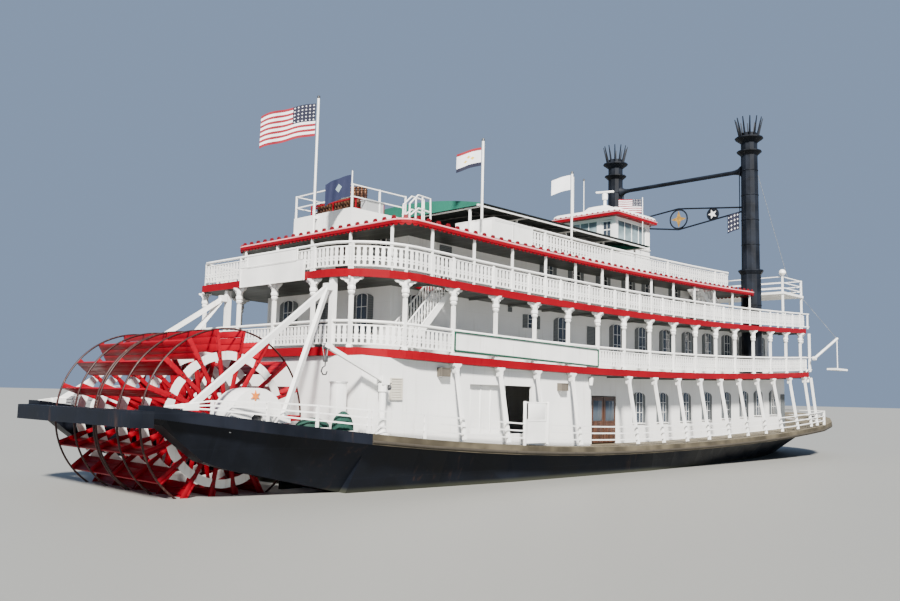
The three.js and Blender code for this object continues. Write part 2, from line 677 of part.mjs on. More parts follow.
function pilothouse() {
  const { x: [aft, fore], half, floor, eaves, windows, aftWindow, aftDoor, foreWindow } = PILOT;
  const low = deckTop('roof')(fore) + 1;
  const [inAft, inFore, inHalf] = [aft + WALL, fore - WALL, half - WALL];
  return cut(
    box(aft, fore, -half, half, low, eaves),
    box(inAft, inFore, -inHalf, inHalf, floor, eaves + 5),
    box(inAft, inFore, -inHalf, inHalf, low - 5, floor - WALL),
    box(...windows.x, -half - 5, half + 5, ...windows.z),
    box(aft - 5, inAft + 5, ...aftWindow, ...windows.z),
    box(inFore - 5, fore + 5, ...foreWindow, ...windows.z),
    box(aft - 5, inAft + 5, ...aftDoor, floor + 4, windows.z[1]),
  );
}

// Roof of the pilothouse; columns: x of the after edge, x of the fore edge, half breadth, height
const PILOT_ROOF = {
  rim: [5, 402, 217, 18], dome: [[20, 388, 203, 16], [70, 340, 120, 50], [110, 300, 60, 58]],
};

function pilothouseRoof() {
  const { rim: [aft, fore, half, height], dome } = PILOT_ROOF;
  const rings = dome.map(([x0, x1, y, z]) => [
    [x0, -y, PILOT.eaves + z], [x1, -y, PILOT.eaves + z], [x1, y, PILOT.eaves + z], [x0, y, PILOT.eaves + z],
  ]);
  return join([box(aft, fore, -half, half, PILOT.eaves + GAP, PILOT.eaves + height), loft(rings)]);
}

function pilothouseDoor() {
  const { x: [aft], floor, aftDoor: [y0, y1], windows } = PILOT;
  return box(aft + 2, aft + 10, y0 + 2, y1 - 2, floor + 6, windows.z[1] - 2);
}

// Awning over the promenade of the roof: an arched skin with closed ends, and its frame of tubes
const AWNING = { aft: -1355, fore: -110, half: 480, eaves: 1246, rise: 54, skin: 6, segments: 8 };

function awning() {
  const { aft, fore, half, eaves, rise, skin, segments } = AWNING;
  const outline = (reach, low, lift) => [
    [-reach, low], [reach, low],
    ...Array.from({ length: segments + 1 }, (_, i) => {
      const t = 1 - (2 * i) / segments;
      return [t * reach, eaves + lift + rise * (1 - t * t)];
    }),
  ];
  return cut(
    loftAlong([aft, fore], () => outline(half, eaves, skin)),
    loftAlong([aft + skin, fore - skin], () => outline(half - skin, eaves - 5, 0)),
  );
}

// columns of a flagstaff: x, height of the top
const FRAME = { xs: [-1343, -1050, -700, -400, -122], postHalf: 400, tube: 7, post: 8, edge: 468 };
const STAFFS = [[-1369, 1497], [-775, 1484]];

function awningFrame() {
  const { xs, postHalf, tube, post: width, edge } = FRAME;
  const z = AWNING.eaves - tube / 2 - GAP;
  const along = (y, aft) => bar([aft, y, z], [xs.at(-1), y, z], tube, tube);
  const pieces = [along(-edge, STAFFS[0][0] - 5), along(edge, xs[0])];
  for (const x of xs) {
    pieces.push(box(x - 2.5, x + 2.5, -edge, edge, z - 2.5, z + 2.5));
    for (const y of [-postHalf, postHalf]) pieces.push(post(x, y, deckTop('roof'), z + 1, width));
  }
  const staffY = -AWNING.half - 8;
  for (const [x, top] of STAFFS) {
    pieces.push(rod([x, staffY, z - 60], [x, staffY, top], 5, 6));
    pieces.push(box(x - 2, x + 2, staffY, -edge, z - 2, z + 2));
  }
  return join(pieces);
}

// Calliope platform at the after end of the roof, with its railing and the stern flagstaff
const CALLIOPE = { aft: -1780, fore: -1490, half: 185, top: 1200, rails: [45, 92], staff: [-1796, 30, 1675] };

function calliopeHouse() {
  const { aft, fore, half, top, rails: heights, staff: [staffX, staffY, staffTop] } = CALLIOPE;
  const low = deckTop('roof');
  const [x0, x1, y] = [aft + 5, fore - 5, half - 5];
  const pieces = [slab(stations(aft, fore), () => -half, () => half, (x) => low(x) + GAP, () => top)];
  for (const x of [x0, (x0 + x1) / 2, x1]) {
    for (const place of [-y, y]) {
      pieces.push(box(x - 3, x + 3, place - 3, place + 3, top - 2, top + heights[1] + 3));
    }
  }
  for (const height of heights) {
    const z = top + height;
    for (const [a, b] of [[[x1, -y], [x0, -y]], [[x0, -y], [x0, y]], [[x0, y], [x1, y]]]) {
      pieces.push(bar([...a, z], [...b, z], 4, 4));
    }
  }
  pieces.push(rod([staffX, staffY, low(staffX) + 1], [staffX, staffY, staffTop], 5, 6));
  pieces.push(box(staffX, aft + 2, staffY - 4, staffY + 4, top - 20, top - 8));
  return join(pieces);
}

const PIPES = {
  x: -1655, count: 11, pitch: 23, base: [-1690, -1600, 126, 46], radius: 8, length: 52, step: 3,
};

function calliopePipes() {
  const { x, count, pitch, base: [x0, x1, half, height], radius, length, step } = PIPES;
  const top = CALLIOPE.top + height;
  const pieces = [box(x0, x1, -half, half, CALLIOPE.top + GAP, top)];
  for (let i = 0; i < count; i += 1) {
    const y = (i - (count - 1) / 2) * pitch;
    pieces.push(rod([x, y, top - 5], [x, y, top + length + step * i], radius, 6));
  }
  return join(pieces);
}

// Roof rail along both sides and across the fore end
const ROOF_RAIL = { aft: -1330, fore: 650, half: DECK_HALF - 35, low: 16, bar: 6, post: 8, aftReach: 200 };

function roofRail() {
  const floor = deckTop('roof');
  const { aft, fore, half, low, bar: thick, post: width, aftReach } = ROOF_RAIL;
  const heights = [low, RAIL_HEIGHT.roof];
  const pieces = railRun([[fore, -half], [fore, half]], floor, heights, thick);
  for (const side of [-1, 1]) {
    const xs = stations(aft, fore + thick / 2);
    pieces.push(...rails(xs, () => side * half, floor, heights, thick));
    pieces.push(...railRun([[aft, side * half], [aft, side * (half - aftReach)]], floor, heights, thick));
    pieces.push(post(aft, side * (half - aftReach), floor, floor(aft) + RAIL_HEIGHT.roof + 1, width));
    for (const x of xs.filter((place, i) => i % 2 === 0)) {
      pieces.push(post(x, side * half, floor, floor(x) + RAIL_HEIGHT.roof + 1, width));
    }
  }
  return join(pieces);
}

// Lookout platform at the fore end of the texas deck
const LOOKOUT = {
  aft: 1420, fore: 1722, half: 500, floor: 1168, thick: 14, inset: 10, rails: [40, 72, 108], bar: 5,
};

function bowPlatform() {
  const { aft, fore, half, floor, thick, inset, rails: heights, bar: width } = LOOKOUT;
  const pieces = [box(aft, fore, -half, half, floor, floor + thick)];
  const [x0, x1, y] = [aft + inset, fore - inset, half - inset];
  for (const x of [x0, x1]) {
    for (const at of [-y, 0, y]) {
      pieces.push(post(x, at, deckTop('texas'), floor + heights.at(-1) + width, 2 * width));
    }
  }
  for (const height of heights) {
    const z = floor + height;
    const corners = [[x0, -y], [x1, -y], [x1, y], [x0, y]];
    for (const [i, a] of corners.entries()) {
      const b = corners[(i + 1) % corners.length];
      pieces.push(bar([...a, z], [...b, z], width, width));
    }
  }
  return join(pieces);
}

// Bow boom with its hanging stage
const BOOM = { x: 1690, y: -575, z: 778, tip: [2080, 928], stage: [1970, 2170, 30, 716, 728] };

function bowBoom() {
  const { x, y, z, tip: [tipX, tipZ], stage: [x0, x1, half, low, high] } = BOOM;
  return join([
    rod([x, y - 10, z], [x, y + 10, z], 12, 8), rod([x, y, z], [tipX, y, tipZ], 8, 6),
    rod([tipX - 6, y, tipZ - 2], [tipX - 6, y, low + 6], 3, 6), box(x0, x1, y - half, y + half, low, high),
  ]);
}

// Deck crane on the starboard quarter
const CRANE = { x: -1920, y: -555, pivot: 535, jib: [250, 105], hook: [244, 100, 55], cheeks: [10, 16, 14] };

function cranePost() {
  const { x, y, pivot } = CRANE;
  return rod([x, y, guardTop(x - 20) + 1], [x, y, pivot - 40], 12, 10);
}

function craneHead() {
  const { x, y, pivot, cheeks: [inner, outer, half] } = CRANE;
  const cheek = (y0, y1) => box(x - half, x + half, y0, y1, pivot - 15, pivot + 16);
  return join([
    rod([x, y, pivot - 38], [x, y, pivot - 10], 16, 10),
    cheek(y - outer, y - inner),
    cheek(y + inner, y + outer),
  ]);
}

function craneJib() {
  const { x, y, pivot, jib: [reach, rise], hook: [out, high, low] } = CRANE;
  return join([
    rod([x, y - 8, pivot], [x, y + 8, pivot], 9, 8), bar([x, y, pivot], [x - reach, y, pivot + rise], 12, 14),
    rod([x - out, y, pivot + high], [x - out, y, pivot + low], 3, 6),
  ]);
}

// Stairs between decks, each under a stairwell in the deck above
const AFT_STAIR = { foot: -1765, head: -1520, y: -462, width: 72, steps: 9 };
const FORE_STAIR = { foot: 640, head: 370, y: -450, width: 66, steps: 7 };

function stairwell({ foot, head, y, width }, low, high) {
  const inward = Math.sign(head - foot);
  const [x0, x1] = [foot + (head - foot) * 0.4, head + 6 * inward].sort((a, b) => a - b);
  return box(x0, x1, y - width / 2 - 8, y + width / 2 + 8, low, high);
}

function stair({ foot, head, y, width, steps }, low, high) {
  const [z0, z1] = [low(foot) + 2, high(head) - 2];
  const [rise, run] = [z1 - z0, head - foot];
  const dir = Math.sign(run);
  const outline = [
    [foot, z0], [foot + 22 * dir, z0], [head, z1 - 14], [head, z1], [head - 10 * dir, z1], [foot, z0 + 14],
  ];
  const pieces = [-1, 1].map((side) => {
    const at = y + (side * width) / 2;
    return plateXZ(dir > 0 ? outline : [...outline].reverse(), at - 2, at + 2);
  });
  for (let i = 1; i < steps; i += 1) {
    const [x, z] = [foot + (run * i) / steps, z0 + (rise * i) / steps];
    const [x0, x1] = [x - 6 * dir, x + 16 * dir].sort((a, b) => a - b);
    pieces.push(box(x0, x1, y - width / 2, y + width / 2, z - 1, z + 3));
  }
  return join(pieces);
}

// Flags, each a thin closed sheet that flies aft and to port from beside its staff
// columns: x and y of the hoist, top height, length, height, droop of the fly end
const FLAGS = {
  flag_stern: [-1806, 36, 1660, 235, 150, 40],
  flag_middle: [-1378, -483, 1470, 108, 74, 26],
};
const FLY = { x: -0.8, y: 0.6, thick: 3 };

function flag([x, y, top, length, height, droop]) {
  const [endX, endY] = [x + FLY.x * length, y + FLY.y * length];
  const [sideX, sideY] = [(-FLY.y * FLY.thick) / 2, (FLY.x * FLY.thick) / 2];
  const ring = (px, py, z) => [
    [px + sideX, py + sideY, z - height], [px + sideX, py + sideY, z],
    [px - sideX, py - sideY, z], [px - sideX, py - sideY, z - height],
  ];
  return loft([ring(x, y, top), ring(endX, endY, top - droop)]);
}

const ENGINE = { x: [-1900, -1550], half: 150, top: 480 };
const SHAFT_HALF = 470;

addPart('hull', 'navy', hull());
addPart('main_deck_aft', 'timber', mainDeck(TRANSOM_X, HOUSE_SPLIT_X - GAP));
addPart('main_deck_middle', 'timber', mainDeck(HOUSE_SPLIT_X, FOREDECK_X));
addPart('foredeck', 'timber', mainDeck(FOREDECK_X + GAP, GUARD_ROWS.at(-1)[0]));
for (const [name, side] of SIDES) {
  addPart(`stern_arm_${name}`, 'navy', sternArm(side));
  addPart(`bearing_housing_${name}`, 'white', bearingHousing(side));
  addPart(`wheel_brace_${name}`, 'white', wheelBrace(side));
  addPart(`rudder_${name}`, 'navy', rudder(side));
}
addPart('fantail_beam', 'navy', fantailBeam());
addPart('paddle_wheel', 'red', paddleWheel());
const shaftEnd = (y) => [WHEEL_X, y, WHEEL_Z];
addPart('wheel_shaft', 'steel', rod(shaftEnd(-SHAFT_HALF), shaftEnd(SHAFT_HALF), SHAFT_RADIUS, 12));
addPart('main_house_aft', 'white', mainHouseAft());
addPart('main_house_fore', 'white', mainHouseFore());
for (const [name, side] of SIDES) {
  const { aft, middle, fore } = PASSENGER;
  addPart(`cargo_door_${name}`, 'white', cargoDoor(side));
  addPart(`passenger_door_aft_${name}`, 'brown', passengerDoor(side, aft + 2, middle - 2.5));
  addPart(`passenger_door_fore_${name}`, 'brown', passengerDoor(side, middle + 2.5, fore - 2));
}
addPart('boiler_deck', 'red', upperDeck('boiler'));
addPart('texas_deck', 'red', texasDeck());
addPart('roof_deck', 'red', roofDeck());
for (const [deck, { aft, fore, half }] of Object.entries(UPPER_HOUSES)) {
  addPart(`${deck}_house`, 'white', house(aft, fore, half, deckTop(deck), deckBottom(ABOVE[deck])));
}
for (const [name, side] of SIDES) {
  addPart(`main_gallery_${name}`, 'white', mainGallery(side));
  addPart(`stern_rail_${name}`, 'white', sternRail(side));
  addPart(`boiler_gallery_${name}`, 'white', sideGallery(name, side, BOILER_COLUMNS, 'boiler', BOILER_BOW_X));
  addPart(`texas_gallery_${name}`, 'white', sideGallery(name, side, TEXAS_POSTS, 'texas', TEXAS_BOW_X));
  addPart(`chimney_${name}`, 'black', chimney(side));
}
addPart('bow_rail', 'white', bowRail());
addPart('boiler_gallery_stern', 'white', sternGallery('boiler'));
addPart('texas_gallery_stern', 'white', sternGallery('texas'));
addPart('roof_rail', 'white', roofRail());
addPart('chimney_spreader', 'black', chimneySpreader());
addPart('pilothouse', 'white', pilothouse());
addPart('pilothouse_roof', 'red', pilothouseRoof());
addPart('pilothouse_door', 'white', pilothouseDoor());
addPart('awning', 'green', awning());
addPart('awning_frame', 'white', awningFrame());
addPart('calliope_house', 'white', calliopeHouse());
addPart('calliope_pipes', 'brass', calliopePipes());
addPart('bow_platform', 'white', bowPlatform());
addPart('bow_boom', 'white', bowBoom());
addPart('crane_post', 'white', cranePost());
addPart('crane_head', 'white', craneHead());
addPart('crane_jib', 'white', craneJib());
addPart('stair_aft', 'white', stair(AFT_STAIR, deckTop('boiler'), deckTop('texas')));
addPart('stair_fore', 'white', stair(FORE_STAIR, deckTop('texas'), deckTop('roof')));
const engine = box(...ENGINE.x, -ENGINE.half, ENGINE.half, guardTop(ENGINE.x[0]) + 5, ENGINE.top);
addPart('engine_block', 'steel', engine);
for (const [name, row] of Object.entries(FLAGS)) addPart(name, 'cloth', flag(row));

export default model;
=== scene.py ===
"""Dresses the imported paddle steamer: paint, glazing, fretwork, trim, cloth and rigging around the CAD frame.

Everything is in metres of the 1:10 model, in the frame's own axes: +X is the bow, +Y is port, +Z is up.
"""

import math

import bmesh
import bpy
from mathutils import Matrix, Vector


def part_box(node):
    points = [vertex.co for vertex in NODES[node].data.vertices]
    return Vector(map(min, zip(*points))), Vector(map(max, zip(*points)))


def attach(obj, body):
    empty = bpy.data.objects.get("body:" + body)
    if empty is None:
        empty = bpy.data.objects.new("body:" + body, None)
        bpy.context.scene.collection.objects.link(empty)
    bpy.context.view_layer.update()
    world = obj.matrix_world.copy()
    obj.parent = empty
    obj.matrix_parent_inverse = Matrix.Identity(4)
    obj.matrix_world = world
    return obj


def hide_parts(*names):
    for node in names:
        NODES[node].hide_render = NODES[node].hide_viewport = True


bl_info = {
    "name": "Paddle Steamer Dressing",
    "version": (1, 0, 0),
    "blender": (4, 5, 0),
    "location": "View3D > Sidebar > Steamer",
    "description": "Adds paint, glazing, fretwork, trim, cloth and rigging to the paddle steamer",
    "category": "Object",
}

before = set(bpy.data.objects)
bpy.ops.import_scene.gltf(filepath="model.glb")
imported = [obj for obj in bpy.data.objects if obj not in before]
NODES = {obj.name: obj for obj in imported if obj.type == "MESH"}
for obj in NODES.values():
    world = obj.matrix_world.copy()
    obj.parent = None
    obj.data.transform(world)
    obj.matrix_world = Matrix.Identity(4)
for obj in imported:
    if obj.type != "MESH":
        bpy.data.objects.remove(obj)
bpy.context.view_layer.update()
SHIP = "ship"
WHEEL = "paddle_wheel"
SIDES = {"starboard": -1, "port": 1}
QUARTER_X = Matrix.Rotation(math.pi / 2, 4, "X")
QUARTER_Y = Matrix.Rotation(math.pi / 2, 4, "Y")

# Places read off the frame
WATERLINE = 0.16
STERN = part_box("boiler_deck")[0].x
DECK_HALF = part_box("boiler_deck")[1].y
WHEEL_LOW, WHEEL_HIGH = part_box("paddle_wheel")
WHEEL_AXIS = (WHEEL_LOW + WHEEL_HIGH) / 2
CHIMNEY_LOW, CHIMNEY_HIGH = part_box("chimney_port")
CHIMNEY_X = (CHIMNEY_LOW.x + CHIMNEY_HIGH.x) / 2
CHIMNEY_Y = (CHIMNEY_LOW.y + CHIMNEY_HIGH.y) / 2

# Places of the columns, posts and slanted stanchions along each side, as in the CAD source
BOILER_COLUMNS = (
    -1.568, -1.331, -1.09, -0.861, -0.641, -0.43, -0.208, 0.016, 0.238, 0.459, 0.68, 0.908, 1.134, 1.353,
    1.569, 1.712,
)
TEXAS_POSTS = (
    -1.686, -1.461, -1.236, -1.021, -0.811, -0.607, -0.403, -0.19, 0.019, 0.233, 0.448, 0.658, 0.871, 1.139,
    1.348, 1.569, 1.69,
)
STANCHIONS = (
    -1.553, -1.307, -1.076, -0.838, -0.399, -0.173, 0.049, 0.272, 0.493, 0.71, 0.937, 1.153, 1.383, 1.607,
    1.71,
)
# Places along X and half breadths of the main deck's edge
GUARD_ROWS = (
    (-2.68, 0.458), (-2.47, 0.503), (-2.33, 0.533), (-2.1, 0.583), (-2.0, 0.605),
    (1.3, 0.605), (1.8, 0.585), (2.1, 0.52), (2.35, 0.415), (2.55, 0.265),
)
# Radii of a deck's corners at the stern to starboard, at the stern to port, and at the bow
DECK_CORNERS = {
    "boiler_deck": {-1: 0.26, 1: 0.06, "bow": 0.12},
    "texas_deck": {-1: 0.26, 1: 0.06, "bow": 0.12},
    "roof_deck": {-1: 0.07, 1: 0.07, "bow": 0.08},
}
HOUSE_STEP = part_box("main_house_aft")[1].x
RAIL_INSET = 0.014
RAIL_TOP = {"boiler_deck": 0.092, "texas_deck": 0.096, "roof_deck": 0.09}
HOUSE_WALLS = {
    "main_house_aft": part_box("main_house_aft")[1].y,
    "main_house_fore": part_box("main_house_fore")[1].y,
    "boiler_house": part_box("boiler_house")[1].y,
    "texas_house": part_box("texas_house")[1].y,
}


# Settings a user would change
def length_property(name, description, default):
    return bpy.props.FloatProperty(
        name=name, description=description, default=default, min=0.0, unit="LENGTH",
    )


def colour_property(name, description, default):
    return bpy.props.FloatVectorProperty(
        name=name, description=description, default=default, subtype="COLOR", size=3, min=0.0, max=1.0
    )


class SteamerPaint(bpy.types.PropertyGroup):
    """Colours of the steamer's finishes"""

    white: colour_property("White", "Rails, posts and walls", (0.8, 0.8, 0.78))
    fascia: colour_property("Fascia red", "Edges of the decks", (0.2, 0.0, 0.006))
    wheel: colour_property("Wheel red", "Paddle wheel", (0.24, 0.0, 0.008))
    hull: colour_property("Hull", "Hull and stern arms", (0.004, 0.0052, 0.0085))
    guard: colour_property("Guard", "Planks of the main deck", (0.13, 0.11, 0.075))
    chimney: colour_property("Chimney", "Chimneys and their spreader", (0.004, 0.0055, 0.009))
    canvas: colour_property("Canvas", "Awning and tarpaulins", (0.003, 0.1, 0.066))
    shutter: colour_property("Shutter", "Louvred shutters", (0.085, 0.095, 0.1))
    board: colour_property("Board frame", "Frames of the blank boards", (0.008, 0.06, 0.035))
    gold: colour_property("Gold", "Gilded ornaments", (0.6, 0.33, 0.07))


class SteamerTrim(bpy.types.PropertyGroup):
    """Sizes of the repeated trim"""

    baluster_pitch: length_property("Baluster pitch", "Spacing of the sawn balusters", 0.0215)
    baluster_thick: length_property("Baluster thickness", "Thickness of a sawn baluster", 0.0025)
    handrail: length_property("Handrail", "Radius of the handrails", 0.0052)
    crenel_pitch: length_property("Crenel pitch", "Spacing of the blocks on the roof's edge", 0.05)
    scallop_pitch: length_property("Scallop pitch", "Spacing of the scallops under the roof's edge", 0.024)


class SteamerStage(bpy.types.PropertyGroup):
    """Floor, light and camera"""

    lens: bpy.props.FloatProperty(name="Lens", description="Focal length", default=34.909, unit="CAMERA")
    sun: bpy.props.FloatProperty(name="Sun", description="Strength of the key light", default=15.0, min=0.0)
    sky: bpy.props.FloatProperty(name="Sky", description="Strength of the fill light", default=0.5, min=0.0)
    sun_width: bpy.props.FloatProperty(
        name="Sun width", description="Angle of the key light", default=math.radians(7), subtype="ANGLE"
    )
    sky_colour: colour_property("Sky colour", "Backdrop", (0.5, 0.68, 1.0))
    floor_colour: colour_property("Floor colour", "Floor at the waterline", (0.22, 0.22, 0.205))


def paint():
    return bpy.context.scene.steamer_paint


def trim():
    return bpy.context.scene.steamer_trim


def stage_settings():
    return bpy.context.scene.steamer_stage


# Shader expressions
class Wire:
    """A socket on which Python's operators add Math nodes"""

    def __init__(self, finish, socket):
        self.finish = finish
        self.socket = socket

    def __add__(self, other):
        return self.finish.maths("ADD", self, other)

    __radd__ = __add__

    def __sub__(self, other):
        return self.finish.maths("SUBTRACT", self, other)

    def __rsub__(self, other):
        return self.finish.maths("SUBTRACT", other, self)

    def __mul__(self, other):
        return self.finish.maths("MULTIPLY", self, other)

    __rmul__ = __mul__

    def __truediv__(self, other):
        return self.finish.maths("DIVIDE", self, other)

    def __pow__(self, other):
        return self.finish.maths("POWER", self, other)

    def __mod__(self, other):
        return self.finish.maths("FLOORED_MODULO", self, other)

    def __abs__(self):
        return self.finish.maths("ABSOLUTE", self)

    def __gt__(self, other):
        return self.finish.maths("GREATER_THAN", self, other)

    def __lt__(self, other):
        return self.finish.maths("LESS_THAN", self, other)

    def __or__(self, other):
        return self.finish.maths("MAXIMUM", self, other)

    def floor(self):
        return self.finish.maths("FLOOR", self)

    def between(self, low, high):
        return (self > low) * (self < high)

    def soft(self, low, high):
        """0 below low and 1 above high, smooth between them"""
        node = self.finish.node(
            "ShaderNodeMapRange", {"interpolation_type": "SMOOTHSTEP"}, {0: self, 1: low, 2: high}
        )
        return Wire(self.finish, node.outputs[0])

    def near_multiple(self, step, width):
        """1 within width of each multiple of step"""
        return abs((self + step / 2) % step - step / 2) < width


SHADER_SOCKETS = {
    "colour": "Base Color", "roughness": "Roughness", "metal": "Metallic", "coat": "Coat Weight",
    "shine": "Specular IOR Level", "normal": "Normal",
}


class Finish:
    """A material built up from expressions"""

    def __init__(self, name):
        self.material = bpy.data.materials.new(name)
        self.material.use_nodes = True
        self.tree = self.material.node_tree
        self.shader = self.tree.nodes["Principled BSDF"]
        where = self.node("ShaderNodeTexCoord")
        self.place = Wire(self, where.outputs["Object"])
        self.uv = Wire(self, where.outputs["UV"])

    def node(self, kind, settings=None, sockets=None):
        """Adds a node, sets its settings, then gives its sockets their values or links"""
        node = self.tree.nodes.new(kind)
        for key, value in (settings or {}).items():
            setattr(node, key, value)
        for key, value in (sockets or {}).items():
            self.feed(node.inputs[key], value)
        return node

    def feed(self, socket, value):
        if isinstance(value, Wire):
            self.tree.links.new(value.socket, socket)
        elif socket.type == "RGBA" and len(value) == 3:
            socket.default_value = (*value, 1)
        else:
            socket.default_value = value

    def maths(self, operation, *values):
        node = self.node("ShaderNodeMath", {"operation": operation}, dict(enumerate(values)))
        return Wire(self, node.outputs[0])

    def axes(self, vector):
        """The three numbers of a vector"""
        node = self.node("ShaderNodeSeparateXYZ", sockets={0: vector})
        return [Wire(self, node.outputs[i]) for i in range(3)]

    def vector(self, x, y, z):
        node = self.node("ShaderNodeCombineXYZ", sockets={0: x, 1: y, 2: z})
        return Wire(self, node.outputs[0])

    def stretched(self, scale):
        node = self.node("ShaderNodeVectorMath", {"operation": "MULTIPLY"}, {0: self.place, 1: scale})
        return Wire(self, node.outputs[0])

    def noise(self, scale, detail=3.0, vector=None):
        where = self.place if vector is None else vector
        node = self.node("ShaderNodeTexNoise", sockets={"Vector": where, "Scale": scale, "Detail": detail})
        return Wire(self, node.outputs[0])

    def mix(self, share, a, b):
        node = self.node("ShaderNodeMix", {"data_type": "RGBA"}, {0: share, 6: a, 7: b})
        return Wire(self, node.outputs[2])

    def facing(self):
        """The three parts of the surface's own direction"""
        node = self.node("ShaderNodeNewGeometry")
        return self.axes(Wire(self, node.outputs["True Normal"]))

    def bump(self, height, strength, distance):
        node = self.node(
            "ShaderNodeBump", sockets={"Height": height, "Strength": strength, "Distance": distance}
        )
        return Wire(self, node.outputs[0])

    def set(self, **values):
        """Feeds the shader's sockets, which are named as in SHADER_SOCKETS"""
        for key, value in values.items():
            self.feed(self.shader.inputs[SHADER_SOCKETS[key]], value)
        return self.material


def tint(colour, factor):
    return tuple(min(1.0, part * factor) for part in colour)


def streaks(finish, width, length):
    """Runs of dirt that hang down the surface"""
    run = finish.noise(1.0, 4.0, finish.stretched((1 / width, 1 / width, 1 / length)))
    return run.soft(0.55, 0.8)


def coated(name, colour, dirt, share, roughness, grain=60.0, coat=0.0, shine=0.35):
    """Paint with cloudy variation, hanging streaks of dirt and a brushed surface"""
    finish = Finish(name)
    clouds = finish.noise(9.0, 5.0).soft(0.3, 0.75)
    body = finish.mix(clouds, tint(colour, 0.9), tint(colour, 1.06))
    runs = streaks(finish, 0.012, 0.16) * share
    fine = finish.noise(grain, 2.0)
    finish.set(
        colour=finish.mix(runs, body, dirt),
        roughness=fine * 0.18 + (roughness - 0.09),
        normal=finish.bump(fine, 0.12, 0.0006),
    )
    return finish.set(coat=coat, shine=shine)


def white_paint():
    return coated("white_paint", paint().white, (0.42, 0.38, 0.31), 0.35, 0.38)


def wall_paint():
    """White plating with faint welded seams"""
    finish = Finish("wall_paint")
    x, y, z = finish.axes(finish.place)
    white = tuple(paint().white)
    clouds = finish.noise(5.0, 5.0).soft(0.3, 0.75)
    body = finish.mix(clouds, tint(white, 0.93), tint(white, 1.04))
    seams = x.near_multiple(0.242, 0.0006) | z.near_multiple(0.118, 0.0005)
    runs = streaks(finish, 0.016, 0.2) * 0.3
    base = finish.mix(runs | seams * 0.22, body, (0.45, 0.42, 0.37))
    dents = finish.noise(14.0, 2.0)
    finish.set(colour=base, roughness=dents * 0.16 + 0.34)
    return finish.set(normal=finish.bump(dents + seams * 0.5, 0.25, 0.0012))


def red_paint():
    return coated("fascia_red", paint().fascia, (0.15, 0.004, 0.008), 0.5, 0.4, shine=0.12)


# Pale pink on the rounded mouldings, a painted highlight along the red edges
def pink_highlight_paint():
    return coated("fascia_line", (0.8, 0.3, 0.32), (0.4, 0.05, 0.06), 0.4, 0.35)


def crenel_paint():
    return coated("crenel_red", tint(paint().fascia, 0.7), (0.05, 0.005, 0.01), 0.4, 0.45)


# Heights below which the posts under the roof stand, along the sides and at the stern
ROOF_POST_TOPS = {"side": 1.0745, "stern": 1.0915, "stern_x": -1.81}


def decking(name, posts=False):
    """Red on the edges and planks on top; below, a near black painted shade with lighter beams; posts that
    stand under it are white
    """
    finish = Finish(name)
    x, y, z = finish.axes(finish.place)
    up = finish.facing()[2]
    red = tuple(paint().fascia)
    clouds = finish.noise(7.0, 4.0).soft(0.3, 0.75)
    edge = finish.mix(clouds, tint(red, 0.88), tint(red, 1.08))
    edge = finish.mix(streaks(finish, 0.01, 0.06) * 0.4, edge, tint(red, 0.45))
    plank = y.near_multiple(0.012, 0.0006)
    top = finish.mix(plank * 0.6 | clouds * 0.25, (0.33, 0.31, 0.27), (0.12, 0.11, 0.1))
    beam = x.near_multiple(0.056, 0.004)
    # below: the underside is painted near black, a painted shade under the deck, with the beams a little
    # lighter
    below = finish.mix(beam * 0.6 | clouds * 0.12, (0.03, 0.033, 0.03), (0.08, 0.085, 0.08))
    base = finish.mix(up > 0.5, finish.mix(up < -0.5, edge, below), top)
    if posts:
        tops = ROOF_POST_TOPS
        post = (z < tops["side"]) | ((x < tops["stern_x"]) * (z < tops["stern"]))
        base = finish.mix(post, base, tuple(paint().white))
    finish.set(colour=base, roughness=0.4 + clouds * 0.15, shine=0.12)
    return finish.set(normal=finish.bump(clouds - plank * 0.4, 0.15, 0.001))


def deck_paint():
    return decking("deck_paint")


def roof_paint():
    return decking("roof_paint", posts=True)


def jib_paint():
    """White jib whose hook rod is dark"""
    finish = Finish("jib_paint")
    x, y, z = finish.axes(finish.place)
    rod = (x < -2.152) * (z < 0.628)
    white = finish.mix(
        finish.noise(9.0, 4.0).soft(0.3, 0.75), tint(paint().white, 0.9), tint(paint().white, 1.05),
    )
    return finish.set(
        colour=finish.mix(rod, white, (0.03, 0.03, 0.035)), roughness=rod * 0.1 + 0.4, shine=0.3,
    )


def hull_paint():
    """Near black plating: seams, rust runs and a stained band at the waterline"""
    finish = Finish("hull_paint")
    x, y, z = finish.axes(finish.place)
    colour = tuple(paint().hull)
    clouds = finish.noise(6.0, 6.0).soft(0.35, 0.7)
    body = finish.mix(clouds, tint(colour, 0.75), tint(colour, 1.7))
    seams = x.near_multiple(0.31, 0.0008) | z.near_multiple(0.105, 0.0007)
    body = finish.mix(seams * 0.25, body, tint(colour, 3.0))
    rust = streaks(finish, 0.02, 0.12) * finish.noise(3.0, 2.0).soft(0.5, 0.68)
    body = finish.mix(rust * 0.5, body, (0.075, 0.038, 0.022))
    scum = 1 - z.soft(WATERLINE + 0.004, WATERLINE + 0.022)
    body = finish.mix(scum * 0.8, body, (0.04, 0.042, 0.03))
    scuff = finish.noise(40.0, 3.0, finish.stretched((0.25, 1, 1))).soft(0.62, 0.8)
    body = finish.mix(scuff * 0.12, body, (0.05, 0.055, 0.06))
    dents = finish.noise(11.0, 3.0)
    finish.set(colour=body, roughness=clouds * 0.2 + 0.4 + scum * 0.2, shine=0.12)
    return finish.set(normal=finish.bump(dents + seams * 0.2, 0.25, 0.002))


